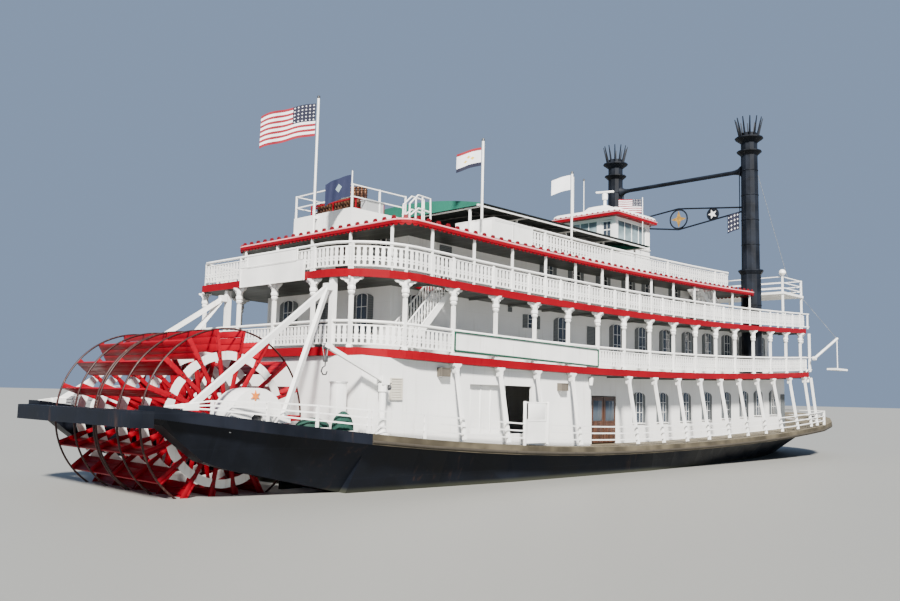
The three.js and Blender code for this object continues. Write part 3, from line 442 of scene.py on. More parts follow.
def guard_paint():
    """Worn planks on the main deck, with a scuffed timber edge"""
    finish = Finish("guard_paint")
    x, y, z = finish.axes(finish.place)
    colour = tuple(paint().guard)
    up = finish.facing()[2]
    grain = finish.noise(1.0, 4.0, finish.stretched((12, 160, 160)))
    plank = y.near_multiple(0.016, 0.0007) | x.near_multiple(0.4, 0.0008)
    worn = finish.noise(8.0, 5.0).soft(0.35, 0.7)
    top = finish.mix(grain.soft(0.3, 0.7), tint(colour, 0.75), tint(colour, 1.25))
    top = finish.mix(plank * 0.7, top, tint(colour, 0.25))
    edge = finish.mix(worn, tint(colour, 0.35), tint(colour, 0.85))
    # The underside is painted near black, a painted shade under the guard
    edge = finish.mix(up < -0.5, edge, (0.03, 0.03, 0.03))
    finish.set(colour=finish.mix(up > 0.5, edge, top), roughness=0.6 + worn * 0.2, shine=0.15)
    return finish.set(normal=finish.bump(grain - plank, 0.35, 0.001))


def wheel_paint():
    """Red spokes and planks, darker towards the bottom below the shaft"""
    finish = Finish("wheel_paint")
    z = finish.axes(finish.place)[2]
    colour = tuple(paint().wheel)
    clouds = finish.noise(10.0, 5.0).soft(0.3, 0.72)
    body = finish.mix(clouds, tint(colour, 0.8), tint(colour, 1.12))
    # The wheel is painted darker towards the bottom, below the shaft
    bottom_darkening = 1 - z.soft(0.2, 0.4)
    body = finish.mix(bottom_darkening * 0.4, body, tint(colour, 0.4))
    body = finish.mix(streaks(finish, 0.02, 0.05) * 0.35, body, (0.12, 0.01, 0.01))
    grain = finish.noise(1.0, 3.0, finish.stretched((70, 8, 70)))
    finish.set(colour=body, roughness=clouds * 0.2 + 0.38, shine=0.15)
    return finish.set(normal=finish.bump(grain, 0.15, 0.0008))


def rim_paint():
    """Dark red-brown steel of the wheel's rings; its tan runs are partly dirt and partly a painted highlight
    of the lit edges
    """
    return coated("wheel_rim", (0.03, 0.009, 0.008), (0.14, 0.09, 0.06), 0.8, 0.45, grain=30.0, shine=0.2)


def band_paint():
    """Splashed white plates between the spokes"""
    return coated("wheel_band", (0.7, 0.69, 0.66), (0.35, 0.22, 0.16), 0.7, 0.45)


def chimney_paint():
    """Black plate with rolled seams, soot and a little rust"""
    finish = Finish("chimney_paint")
    x, y, z = finish.axes(finish.place)
    colour = tuple(paint().chimney)
    clouds = finish.noise(12.0, 5.0).soft(0.3, 0.7)
    body = finish.mix(clouds, tint(colour, 0.7), tint(colour, 2.0))
    seam = z.near_multiple(0.151, 0.0008)
    rust = streaks(finish, 0.01, 0.11) * 0.15
    body = finish.mix(rust | seam * 0.12, body, (0.05, 0.04, 0.035))
    finish.set(colour=body, roughness=clouds * 0.15 + 0.5, shine=0.15)
    return finish.set(normal=finish.bump(clouds + seam, 0.2, 0.0012))


def glass():
    """Dark panes that hold a reflection"""
    finish = Finish("window_glass")
    clouds = finish.noise(4.0, 2.0).soft(0.3, 0.7)
    finish.set(colour=finish.mix(clouds, (0.012, 0.016, 0.022), (0.05, 0.065, 0.085)))
    return finish.set(roughness=clouds * 0.04 + 0.06, coat=0.35, shine=0.3)


def pilot_glass():
    """Paler panes, with the sky that shows through them painted into their colour"""
    finish = Finish("pilothouse_glass")
    clouds = finish.noise(9.0, 2.0).soft(0.3, 0.7)
    finish.set(colour=finish.mix(clouds, (0.1, 0.14, 0.15), (0.26, 0.34, 0.37)))
    return finish.set(roughness=clouds * 0.05 + 0.08, coat=0.3, shine=0.3)


def shutter_paint():
    """Dark louvred boards; each slat is painted lighter at its top and darker at its foot, a painted shade of
    the louvres
    """
    finish = Finish("shutter_paint")
    x, y, z = finish.axes(finish.place)
    # Each slat's ramp paints its foot dark and its top light, a painted shade; the same ramp gives the bump
    slat = (z % 0.0065) / 0.0065
    colour = tuple(paint().shutter)
    body = finish.mix(slat, tint(colour, 0.45), tint(colour, 1.9))
    finish.set(colour=body, roughness=0.55 + finish.noise(40.0) * 0.15)
    return finish.set(normal=finish.bump(slat, 0.7, 0.0016))


def door_wood():
    finish = Finish("door_wood")
    grain = finish.noise(1.0, 4.0, finish.stretched((140, 140, 9)))
    body = finish.mix(grain.soft(0.3, 0.7), (0.025, 0.01, 0.006), (0.085, 0.035, 0.018))
    finish.set(colour=body, roughness=0.3 + grain * 0.2)
    return finish.set(normal=finish.bump(grain, 0.2, 0.0008))


def brass():
    """Tarnished brass with brighter, handled patches"""
    finish = Finish("pipe_brass")
    worn = finish.noise(30.0, 4.0).soft(0.35, 0.7)
    finish.set(
        colour=finish.mix(worn, (0.05, 0.022, 0.016), (0.26, 0.13, 0.07)), roughness=0.45 - worn * 0.2,
    )
    return finish.set(metal=0.8)


def gilding():
    finish = Finish("gilding")
    worn = finish.noise(60.0, 3.0).soft(0.3, 0.7)
    gold = tuple(paint().gold)
    finish.set(colour=finish.mix(worn, tint(gold, 0.8), tint(gold, 1.15)), roughness=0.3 + worn * 0.15)
    return finish.set(metal=0.6)


def steel():
    finish = Finish("dark_steel")
    worn = finish.noise(35.0, 5.0).soft(0.3, 0.7)
    finish.set(colour=finish.mix(worn, (0.05, 0.05, 0.055), (0.2, 0.2, 0.2)), roughness=0.3 + worn * 0.25)
    return finish.set(metal=0.85)


def woven(name, top, under, scale=420.0):
    """Canvas with a weave; top colours the upper side and under the lower side, whose darker colour is a
    painted shade
    """
    finish = Finish(name)
    x, y, z = finish.axes(finish.place)
    warp = finish.maths("SINE", x * scale * 2.0)
    weft = finish.maths("SINE", y * scale * 2.0)
    faded = finish.noise(6.0, 4.0).soft(0.3, 0.7)
    above = finish.mix(faded, tint(top, 0.85), tint(top, 1.25))
    # The downward faces take the under colour, a painted shade below the canvas
    base = finish.mix(finish.facing()[2] < -0.1, above, under)
    finish.set(colour=base, roughness=0.75 + faded * 0.15)
    return finish.set(normal=finish.bump(warp * weft, 0.25, 0.0004))


def canvas():
    # The awning's underside is painted near black, a painted shade
    return woven("awning_canvas", tuple(paint().canvas), (0.006, 0.012, 0.011))


def tarpaulin():
    # The tarpaulin's underside is painted darker, a painted shade
    return woven("tarpaulin", tint(paint().canvas, 0.3), (0.01, 0.02, 0.015), 300.0)


def beam_shade_paint():
    # Dark grey, a painted shade on the beams under the decks
    return coated("beam_grey", (0.1, 0.105, 0.1), (0.05, 0.05, 0.05), 0.4, 0.5)


def green_paint():
    return coated("board_green", paint().board, (0.01, 0.02, 0.015), 0.3, 0.4)


def orange_paint():
    return coated("star_orange", (0.62, 0.17, 0.02), (0.2, 0.06, 0.02), 0.3, 0.4)


def grey_paint():
    return coated("box_grey", (0.36, 0.37, 0.38), (0.18, 0.17, 0.16), 0.4, 0.5)


def strake_paint():
    return coated("strake_paint", (0.05, 0.043, 0.033), (0.015, 0.015, 0.015), 0.5, 0.6, shine=0.15)


def flood_paint():
    return coated("flood_brown", (0.11, 0.095, 0.075), (0.03, 0.03, 0.03), 0.5, 0.5)


def beige_paint():
    return coated("vent_beige", (0.5, 0.47, 0.4), (0.3, 0.27, 0.2), 0.4, 0.5)


def lamp_glass():
    finish = Finish("lamp_glass")
    clouds = finish.noise(20.0)
    return finish.set(colour=finish.mix(clouds, (0.75, 0.75, 0.72), (0.85, 0.85, 0.83)), roughness=0.25)


def cord_fibre():
    finish = Finish("wire_rope")
    x, y, z = finish.axes(finish.place)
    lay = finish.maths("SINE", (x + y + z) * 900.0)
    finish.set(colour=finish.mix(lay * 0.5 + 0.5, (0.16, 0.16, 0.16), (0.34, 0.34, 0.33)), roughness=0.6)
    return finish.set(normal=finish.bump(lay, 0.4, 0.0004))


def bunting(name, pattern):
    """Flag cloth; pattern(finish, u, v) gives its colour"""
    finish = Finish(name)
    u, v, _ = finish.axes(finish.uv)
    weave = finish.maths("SINE", u * 700.0) * finish.maths("SINE", v * 450.0)
    finish.set(colour=pattern(finish, u, v), roughness=0.8 + finish.noise(30.0) * 0.1)
    return finish.set(normal=finish.bump(weave, 0.15, 0.0003))


BLUE = (0.003, 0.004, 0.018)
RED = (0.2, 0.001, 0.012)
WHITE = (0.7, 0.7, 0.72)


def stars(finish, u, v, columns, rows):
    """Rows of small white stars, as a mask"""
    across = abs((u * columns) % 1.0 - 0.5)
    up = abs((v * rows) % 1.0 - 0.5)
    return (across ** 0.6 + up ** 0.6) < 0.5


def striped_flag(finish, u, v):
    stripe = ((v * 6.5) % 1.0 < 0.5) * 1.0
    field = finish.mix(stripe, WHITE, RED)
    inside = (u < 0.4) * (v > 6 / 13)
    canton = finish.mix(stars(finish, u / 0.4, (v - 6 / 13) * (13 / 7), 6, 5), BLUE, WHITE)
    return finish.mix(inside, field, canton)


def banded_flag(finish, u, v):
    field = finish.mix(v > 0.86, WHITE, (0.2, 0.004, 0.012))
    field = finish.mix(v < 0.2, field, BLUE)
    marks = (abs(u - 0.35) + abs(v - 0.5)) < 0.09
    marks = marks | ((abs(u - 0.5) + abs(v - 0.62)) < 0.08) | ((abs(u - 0.62) + abs(v - 0.42)) < 0.08)
    return finish.mix(marks, field, (0.6, 0.4, 0.05))


def blue_flag(finish, u, v):
    pale = (abs(u - 0.45) * 1.6 + abs(v - 0.55)) < 0.2
    return finish.mix(pale, (0.003, 0.007, 0.035), (0.16, 0.22, 0.24))


def white_flag(finish, u, v):
    return finish.mix(finish.noise(8.0).soft(0.3, 0.7), (0.74, 0.74, 0.76), WHITE)


def star_flag(finish, u, v):
    return finish.mix(stars(finish, u, v, 4, 4), BLUE, WHITE)


# Modelling by hand
def only(*objs):
    """Selects just these objects, the last one active"""
    bpy.ops.object.select_all(action="DESELECT")
    for obj in objs:
        obj.select_set(True)
    if objs:
        bpy.context.view_layer.objects.active = objs[-1]


def settled(obj, name):
    """Applies an object's place, turn and size to its mesh"""
    only(obj)
    bpy.ops.object.transform_apply(location=True, rotation=True, scale=True)
    obj.name = obj.data.name = name
    return obj


class Editing:
    """Edit mode on one object, with faces or corners picked by their place"""

    def __init__(self, obj, kind="FACE"):
        self.obj = obj
        self.kind = kind

    def __enter__(self):
        only(self.obj)
        bpy.ops.object.mode_set(mode="EDIT")
        bpy.ops.mesh.select_mode(type=self.kind)
        bpy.ops.mesh.select_all(action="DESELECT")
        return self

    def __exit__(self, *_):
        bpy.ops.object.mode_set(mode="OBJECT")

    def pick(self, test):
        """Selects the faces or corners for which the test on place and direction holds"""
        mesh = bmesh.from_edit_mesh(self.obj.data)
        if self.kind == "VERT":
            for corner in mesh.verts:
                corner.select_set(test(corner.co, corner.normal))
        else:
            for face in mesh.faces:
                face.select_set(test(face.calc_center_median(), face.normal))
        mesh.select_flush_mode()
        bmesh.update_edit_mesh(self.obj.data)

    def all(self):
        bpy.ops.mesh.select_all(action="SELECT")

    def extrude(self, *way):
        bpy.ops.mesh.extrude_region_move(TRANSFORM_OT_translate={"value": way})

    def shift(self, *way):
        bpy.ops.transform.translate(value=way)

    def resize(self, *factors, centre=(0, 0, 0)):
        bpy.ops.transform.resize(value=factors, center_override=centre)

    def face_outwards(self):
        self.all()
        bpy.ops.mesh.normals_make_consistent(inside=False)


def modified(obj, kind, **settings):
    """Adds a modifier and applies it"""
    modifier = obj.modifiers.new(kind.title(), kind)
    for key, value in settings.items():
        setattr(modifier, key, value)
    only(obj)
    bpy.ops.object.modifier_apply(modifier=modifier.name)
    return obj


def upright(name, x, y, half_x, half_y, low, high, bevel=0.0):
    """A box round a vertical line, between two heights"""
    return block(name, (x - half_x, y - half_y, low), (x + half_x, y + half_y, high), bevel)


def block(name, low, high, bevel=0.0):
    """A box between two corners, its edges eased by bevel"""
    low, high = Vector(low), Vector(high)
    only()
    bpy.ops.mesh.primitive_cube_add(size=1, location=(low + high) / 2, scale=high - low)
    obj = settled(bpy.context.object, name)
    return modified(obj, "BEVEL", width=bevel, segments=2, limit_method="ANGLE") if bevel else obj


def raised(name, section, rows, sides=12):
    """A shape drawn up from its lowest row; each row is a height and half sizes along X and Y"""
    z, wide, deep = rows[0]
    only()
    if section == "round":
        bpy.ops.mesh.primitive_circle_add(vertices=sides, radius=1, fill_type="NGON", location=(0, 0, z))
    else:
        bpy.ops.mesh.primitive_plane_add(size=2, location=(0, 0, z))
    bpy.context.object.scale = (wide, deep, 1)
    obj = settled(bpy.context.object, name)
    with Editing(obj) as edit:
        edit.all()
        for high, next_wide, next_deep in rows[1:]:
            edit.extrude(0, 0, high - z)
            edit.resize(next_wide / wide, next_deep / deep, 1, centre=(0, 0, high))
            z, wide, deep = high, next_wide, next_deep
        edit.face_outwards()
    return obj


def turned(name, profile, sides=16):
    """A round shape; the profile lists heights and radii"""
    return raised(name, "round", [(z, r, r) for z, r in profile], sides)


def sawn(name, thick, rows):
    """A board with a shaped outline; the rows list heights and half widths"""
    return raised(name, "square", [(z, wide, thick / 2) for z, wide in rows])


def piped(name, lines, radius, detail=1):
    """Round bars along lines of points"""
    only()
    bpy.ops.object.add(type="CURVE")
    obj = bpy.context.object
    obj.data.dimensions = "3D"
    obj.data.bevel_depth = radius
    obj.data.bevel_resolution = detail
    obj.data.use_fill_caps = True
    for line in lines:
        spline = obj.data.splines.new("POLY")
        spline.points.add(len(line) - 1)
        for point, place in zip(spline.points, line):
            point.co = (*place, 1)
    only(obj)
    bpy.ops.object.convert(target="MESH")
    return settled(bpy.context.object, name)


def arched_slab(name, half, height, rise, depth):
    """A slab with an arched top, standing on Z 0 and facing -Y"""
    spring = height - rise
    only()
    bpy.ops.mesh.primitive_circle_add(vertices=24, radius=1, fill_type="NGON", rotation=(math.pi / 2, 0, 0))
    obj = settled(bpy.context.object, name)
    with Editing(obj, "VERT") as edit:
        edit.pick(lambda place, _: place.z < -0.01)
        edit.resize(1 / math.cos(math.radians(15)), 1, 0)
        edit.shift(0, 0, -spring)
        edit.pick(lambda place, _: place.z > 0.01)
        edit.resize(1, 1, rise)
        edit.all()
        edit.resize(half, 1, 1)
        edit.shift(0, 0, spring)
        edit.extrude(0, -depth, 0)
        edit.face_outwards()
    return obj


def panelled(name, low, high, border, sunk):
    """A door or panel whose face towards -Y is inset and pushed in"""
    obj = block(name, low, high)
    with Editing(obj) as edit:
        edit.pick(lambda _, normal: normal.y < -0.9)
        bpy.ops.mesh.inset(thickness=border, depth=0)
        edit.extrude(0, sunk, 0)
    return obj


def joined(name, pieces):
    """One piece made of several"""
    only(*pieces)
    if len(pieces) > 1:
        bpy.ops.object.join()
    obj = bpy.context.view_layer.objects.active
    obj.name = obj.data.name = name
    return obj


def stamped(name, template, places):
    """Copies of a template, each with its own mesh, joined into one piece; the template is used up"""
    copies = []
    for place in places:
        copy = template.copy()
        copy.data = template.data.copy()
        copy.data.transform(place)
        bpy.context.scene.collection.objects.link(copy)
        copies.append(copy)
    bpy.data.objects.remove(template)
    return joined(name, copies)


# Materials made so far, by the name of the finish function that makes them
MATERIALS = {}


def material(finish):
    """The material that a finish function makes, made once"""
    if finish.__name__ not in MATERIALS:
        MATERIALS[finish.__name__] = finish()
    return MATERIALS[finish.__name__]


def shown(obj, finish, body=SHIP, smooth=35):
    """Finishes a piece: its material, its shading and the body that it rides on"""
    obj.data.materials.clear()
    obj.data.materials.append(material(finish))
    only(obj)
    bpy.ops.object.shade_smooth_by_angle(angle=math.radians(smooth))
    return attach(obj, body)


# Places on the frame
def top_of(node, x, y):
    """Height of a node's upper surface"""
    hit, place, _, _ = NODES[node].ray_cast(Vector((x, y, 4)), Vector((0, 0, -1)))
    return place.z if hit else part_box(node)[1].z


def bottom_of(node, x, y):
    """Height of a node's lower surface"""
    hit, place, _, _ = NODES[node].ray_cast(Vector((x, y, -1)), Vector((0, 0, 1)))
    return place.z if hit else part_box(node)[0].z


def main_deck_z(x, y=0.5):
    for node in ("main_deck_aft", "main_deck_middle", "foredeck"):
        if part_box(node)[0].x <= x <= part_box(node)[1].x:
            return top_of(node, x, y)
    return top_of("stern_arm_port", x, 0.42)


def guard_half(x):
    """Half breadth of the main deck, as in the CAD source"""
    for (x0, y0), (x1, y1) in zip(GUARD_ROWS, GUARD_ROWS[1:]):
        if x <= x1:
            return y0 + (y1 - y0) * max(0, x - x0) / (x1 - x0)
    return GUARD_ROWS[-1][1]


def at(x, y, z):
    return Matrix.Translation((x, y, z))


def moved(obj, place):
    """Moves the mesh itself, so that the object stays at the origin"""
    obj.data.transform(place)
    return obj


def standing(x, y, z, turn=0.0):
    return at(x, y, z) @ Matrix.Rotation(turn, 4, "Z")


def facing_out(x, side, y, z):
    """A place on a side wall, turned so that the piece's -Y points away from the ship"""
    return standing(x, side * y, z, 0 if side < 0 else math.pi)


class Edge:
    """The line along one side of a deck's edge, from the middle of the stern to the middle of the bow"""

    def __init__(self, deck, inset, side):
        self.deck, self.side = deck, side
        low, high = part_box(deck)
        corners = DECK_CORNERS[deck]
        self.aft, self.fore = corners[side] - inset, corners["bow"] - inset
        self.x0, self.x1, self.half = low.x + inset, high.x - inset, high.y - inset
        self.across = self.half - self.aft
        self.across_bow = self.half - self.fore
        self.side_start = self.across + self.aft * math.pi / 2
        self.side_end = self.side_start + self.x1 - self.fore - self.x0 - self.aft
        self.bow_start = self.side_end + self.fore * math.pi / 2
        self.length = self.bow_start + self.across_bow

    def at(self, s):
        """Distance along X and out from the middle, and the heading, at a distance along the line"""
        if s < self.across:
            return self.x0, s, math.pi / 2
        if s < self.side_start:
            a = (s - self.across) / self.aft
            x, out = self.x0 + self.aft * (1 - math.cos(a)), self.across + self.aft * math.sin(a)
            return x, out, math.pi / 2 - a
        if s < self.side_end:
            return self.x0 + self.aft + s - self.side_start, self.half, 0.0
        if s < self.bow_start:
            a = (s - self.side_end) / self.fore
            return self.x1 - self.fore * (1 - math.sin(a)), self.half - self.fore * (1 - math.cos(a)), -a
        return self.x1, self.across_bow - s + self.bow_start, -math.pi / 2

    def s_at(self, x):
        """Distance along the line where its straight side passes x"""
        return self.side_start + x - self.x0 - self.aft

    def s_turned(self, degrees):
        """Distance along the line where the stern corner has turned by an angle"""
        return self.across + self.aft * math.radians(degrees)

    def point(self, s, lift=0.0):
        x, out, _ = self.at(s)
        return Vector((x, self.side * out, top_of(self.deck, x, self.side * out) + lift))

    def place(self, s, lift=0.0, below=False):
        """The matrix that stands a piece on the line, its X along the edge and its -Y outwards"""
        x, out, heading = self.at(s)
        y = self.side * out
        z = (bottom_of if below else top_of)(self.deck, x, y) + lift
        return standing(x, y, z, -heading if self.side < 0 else math.pi + heading)

    def line(self, s0, s1, lift, step=0.05):
        count = max(1, round((s1 - s0) / step))
        return [self.point(s0 + (s1 - s0) * i / count, lift) for i in range(count + 1)]


def spaced(start, end, pitch):
    """Middles of equal steps that are near a pitch"""
    count = max(1, round((end - start) / pitch))
    return [start + (end - start) * (i + 0.5) / count for i in range(count)]


class Making(bpy.types.Operator):
    """Shared by the operators that make pieces"""

    bl_idname = "steamer.making"
    bl_label = "Make pieces"
    bl_options = {"REGISTER", "UNDO"}

    def execute(self, context):
        self.make()
        return {"FINISHED"}

    def make(self):
        raise NotImplementedError("an operator of the steamer makes its own pieces")


# Finishes of the CAD nodes; each row is the start of the nodes' names and the finish
NODE_FINISHES = (
    ("hull", hull_paint), ("stern_arm", hull_paint), ("fantail_beam", hull_paint), ("rudder", hull_paint),
    ("main_deck", guard_paint), ("foredeck", guard_paint), ("main_house", wall_paint),
    ("boiler_deck", deck_paint), ("texas_deck", deck_paint), ("roof_deck", roof_paint),
    ("boiler_house", wall_paint), ("texas_house", wall_paint), ("paddle_wheel", wheel_paint),
    ("wheel_shaft", steel), ("engine_block", steel), ("chimney", chimney_paint),
    ("passenger_door", door_wood), ("pilothouse_roof", red_paint), ("pilothouse", wall_paint),
    ("calliope_pipes", brass), ("crane_jib", jib_paint), ("calliope_house", wall_paint),
    ("awning_frame", white_paint), ("awning", canvas), ("cargo_door", wall_paint), ("", white_paint),
)


class STEAMER_OT_finishes(Making):
    """Gives every CAD node its finish"""

    bl_idname = "steamer.finishes"
    bl_label = "Finishes"

    def make(self):
        for name, node in NODES.items():
            finish = next(finish for start, finish in NODE_FINISHES if name.startswith(start))
            node.data.materials.clear()
            node.data.materials.append(material(finish))


# Balustrades; the rows of a baluster are a share of its height and a half width as a share of the pitch
BALUSTER_ROWS = (
    (0.0, 0.27), (0.2, 0.25), (0.265, 0.47), (0.295, 0.47), (0.355, 0.3), (0.415, 0.47), (0.445, 0.47),
    (0.53, 0.26), (0.72, 0.34), (0.88, 0.25), (1.0, 0.3),
)
BALUSTRADES = {
    "boiler_deck": {"low": 0.014, "second": 0.078, "end": 0.02},
    "texas_deck": {"low": 0.014, "second": 0.081, "end": 0.02},
}
ROOF_RAIL = {
    "aft": -1.33, "solid_to": -1.08, "fore": 0.65, "inset": 0.035, "low": 0.016, "second": 0.077,
    "panel": (0.012, 0.088),
}


def baluster(low, high):
    pitch = trim().baluster_pitch
    rows = [(low + (high - low) * share, wide * pitch) for share, wide in BALUSTER_ROWS]
    return sawn("baluster", trim().baluster_thick, rows)


class STEAMER_OT_balustrades(Making):
    """Sawn balusters, their rails and handrails round the decks"""

    bl_idname = "steamer.balustrades"
    bl_label = "Balustrades"

    def make(self):
        for side_name, side in SIDES.items():
            for deck, sizes in BALUSTRADES.items():
                edge = Edge(deck, RAIL_INSET, side)
                end = edge.s_at(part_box(deck)[1].x - sizes["end"] - 0.002)
                self.fill(edge, 0.0, end, sizes, f"{deck}_{side_name}", RAIL_TOP[deck])
            edge = Edge("roof_deck", ROOF_RAIL["inset"], side)
            start, end = edge.s_at(ROOF_RAIL["solid_to"]), edge.s_at(ROOF_RAIL["fore"])
            self.fill(edge, start, end, ROOF_RAIL, f"roof_{side_name}", RAIL_TOP["roof_deck"])
        self.roof_panels()

    def fill(self, edge, start, end, sizes, name, top):
        low, second = sizes["low"], sizes["second"]
        places = [edge.place(s) for s in spaced(start, end, trim().baluster_pitch)]
        balusters = stamped(f"balusters_{name}", baluster(low + 0.002, second), places)
        shown(balusters, white_paint, smooth=20)
        rail = piped(f"handrail_{name}", [edge.line(start, end, top)], trim().handrail, 2)
        shown(rail, white_paint, smooth=60)
        thin = piped(
            f"rails_{name}",
            [edge.line(start, end, second), edge.line(start, end, low)],
            trim().handrail * 0.52,
        )
        shown(thin, white_paint, smooth=60)

    def roof_panels(self):
        """Solid panels round the after corners of the roof's rail"""
        aft, solid_to = ROOF_RAIL["aft"], ROOF_RAIL["solid_to"]
        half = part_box("roof_deck")[1].y - ROOF_RAIL["inset"]
        low, high = ROOF_RAIL["panel"]
        panels = []
        for side in SIDES.values():
            for x0, x1 in ((aft, (aft + solid_to) / 2), ((aft + solid_to) / 2, solid_to)):
                z = top_of("roof_deck", (x0 + x1) / 2, 0.5)
                panel = panelled(
                    "panel", (x0 + 0.003, -0.002, low), (x1 - 0.003, 0.002, high), 0.006, 0.001,
                )
                panels.append(moved(panel, standing(0, side * half, z)))
            z = top_of("roof_deck", aft, 0.4)
            y0, y1 = sorted((side * (half - 0.2), side * half))
            panels.append(block("panel", (aft - 0.002, y0, z + low), (aft + 0.002, y1, z + high), 0.0008))
        shown(joined("roof_rail_panels", panels), white_paint)


# Brackets under the edge of the deck above; rows are heights below the deck and half widths
BRACKET_PLATE = (
    (-0.034, 0.012), (-0.03, 0.017), (-0.026, 0.016), (-0.022, 0.024), (-0.017, 0.03), (-0.014, 0.029),
    (-0.011, 0.04), (-0.007, 0.05), (-0.003, 0.052), (0.0, 0.052),
)
BRACKET_BULB = (
    (-0.078, 0.0065), (-0.074, 0.009), (-0.068, 0.0145), (-0.061, 0.016), (-0.055, 0.012), (-0.052, 0.0165),
    (-0.042, 0.0175), (-0.034, 0.014), (-0.03, 0.016), (0.0, 0.014),
)
# Place along the edge, height and radius of each scroll
BRACKET_SCROLLS = (
    (-0.04, -0.006, 0.0058), (0.04, -0.006, 0.0058), (-0.022, -0.018, 0.005), (0.022, -0.018, 0.005),
)
BRACKET_SCALE = 0.84
FOOT_ROWS = ((0, 0.0095, 0.0095), (0.008, 0.0095, 0.0095), (0.012, 0.0068, 0.0068))
SHORT_POST_ROWS = ((0.0, 0.005, 0.005), (0.083, 0.005, 0.005), (0.089, 0.002, 0.002))
CAP_ROWS = (
    (-0.034, 0.007), (-0.024, 0.0095), (-0.015, 0.0095), (-0.008, 0.017), (-0.0075, 0.021),
    (0.0, 0.021),
)
# Where columns stand round the stern: distances from the middle, turns of the corner, and places along X
STERN_COLUMNS = {
    -1: {"across": (0, 0.24), "turns": (30, 75), "xs": ()},
    1: {"across": (0.24,), "turns": (45,), "xs": (-1.79,)},
}


def column_runs(edge):
    """Distances along a deck's edge at which columns stand"""
    stern = STERN_COLUMNS[edge.side]
    runs = [*stern["across"], *(edge.s_turned(turn) for turn in stern["turns"])]
    return runs + [edge.s_at(x) for x in (*stern["xs"], *BOILER_COLUMNS)]


def bracket():
    """One bracket: a scrolled plate along the edge, a smaller one across it, and a turned bulb"""
    plate = sawn("plate", 0.008, BRACKET_PLATE)
    across = sawn("across", 0.007, [(z, wide * 0.62) for z, wide in BRACKET_PLATE])
    across = moved(across, Matrix.Rotation(math.pi / 2, 4, "Z"))
    bulb = turned("bulb", BRACKET_BULB, 8)
    scrolls = []
    for x, z, radius in BRACKET_SCROLLS:
        rows = ((-0.0065, radius * 0.7), (-0.005, radius), (0.005, radius), (0.0065, radius * 0.7))
        scrolls.append(moved(turned("scroll", rows, 10), at(x, 0, z) @ QUARTER_X))
    whole = joined("bracket", [plate, across, bulb, *scrolls])
    return moved(whole, Matrix.Diagonal((BRACKET_SCALE, BRACKET_SCALE, BRACKET_SCALE, 1)))


class STEAMER_OT_brackets(Making):
    """Brackets of the columns and caps of the slanted stanchions"""

    bl_idname = "steamer.brackets"
    bl_label = "Brackets"

    def make(self):
        brackets, caps, feet, shorts = [], [], [], []
        middles = [(a + b) / 2 for a, b in zip(TEXAS_POSTS, TEXAS_POSTS[1:]) if b - a > 0.15]
        for side in SIDES.values():
            texas = Edge("texas_deck", RAIL_INSET, side)
            brackets += [texas.place(s, below=True) for s in column_runs(texas)]
            shorts += [texas.place(texas.s_at(x)) for x in middles]
            boiler = Edge("boiler_deck", RAIL_INSET, side)
            feet += [boiler.place(s) for s in column_runs(boiler)]
            lower = Edge("boiler_deck", 0.009, side)
            caps += [lower.place(lower.s_at(x), below=True) for x in STANCHIONS]
        shown(stamped("column_brackets", bracket(), brackets), white_paint)
        shown(stamped("stanchion_caps", sawn("cap", 0.02, CAP_ROWS), caps), white_paint)
        shown(stamped("column_feet", raised("foot", "square", FOOT_ROWS), feet), white_paint)
        short = raised("short", "square", SHORT_POST_ROWS)
        shown(stamped("texas_short_posts", short, shorts), white_paint)
        self.beams()

    def beams(self):
        """Beams under the overhang of the decks, painted dark grey as a painted shade"""
        rows = (("boiler_deck", 0.425, STANCHIONS), ("texas_deck", 0.395, BOILER_COLUMNS))
        beams = []
        for deck, inner, xs in rows:
            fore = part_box(deck)[1].x - 0.02
            for x in (x for x in xs if x < fore):
                for side in SIDES.values():
                    z = bottom_of(deck, x, 0.5)
                    y0, y1 = sorted((side * inner, side * (DECK_HALF - 0.012)))
                    if deck != "boiler_deck" or x > HOUSE_STEP:
                        beams.append(block("beam", (x - 0.004, y0, z - 0.008), (x + 0.004, y1, z + 0.001)))
        shown(joined("deck_beams", beams), beam_shade_paint)


# Trim of the roof's edge
SCALLOP_ROWS = ((-0.0065, 0.003), (-0.0052, 0.0065), (-0.0025, 0.0092), (0.0, 0.0108), (0.005, 0.0112))
CRENEL_ROWS = (
    (0.0, 0.0085, 0.004), (0.009, 0.0085, 0.004), (0.0095, 0.0068, 0.003), (0.0125, 0.0068, 0.003),
)


class STEAMER_OT_roof_edge(Making):
    """Blocks on top of the roof's edge, scallops below it and a rounded moulding painted pink as a painted
    highlight
    """

    bl_idname = "steamer.roof_edge"
    bl_label = "Roof edge"

    def make(self):
        crenels, scallops, lines = [], [], []
        for side in SIDES.values():
            edge = Edge("roof_deck", 0.007, side)
            crenels += [edge.place(s) for s in spaced(0, edge.length, trim().crenel_pitch)]
            outer = Edge("roof_deck", 0.0035, side)
            scallops += [outer.place(s, below=True) for s in spaced(0, outer.length, trim().scallop_pitch)]
            rim = Edge("roof_deck", 0.0015, side)
            lines.append(rim.line(0, rim.length, -0.004, 0.03))
        crenel = raised("crenel", "square", CRENEL_ROWS)
        shown(stamped("roof_crenels", crenel, crenels), crenel_paint, smooth=20)
        scallop = sawn("scallop", 0.003, SCALLOP_ROWS)
        shown(stamped("roof_scallops", scallop, scallops), red_paint, smooth=20)
        # The moulding's pink is a painted highlight along the red edge
        shown(piped("roof_moulding", lines, 0.0036, 2), pink_highlight_paint, smooth=60)


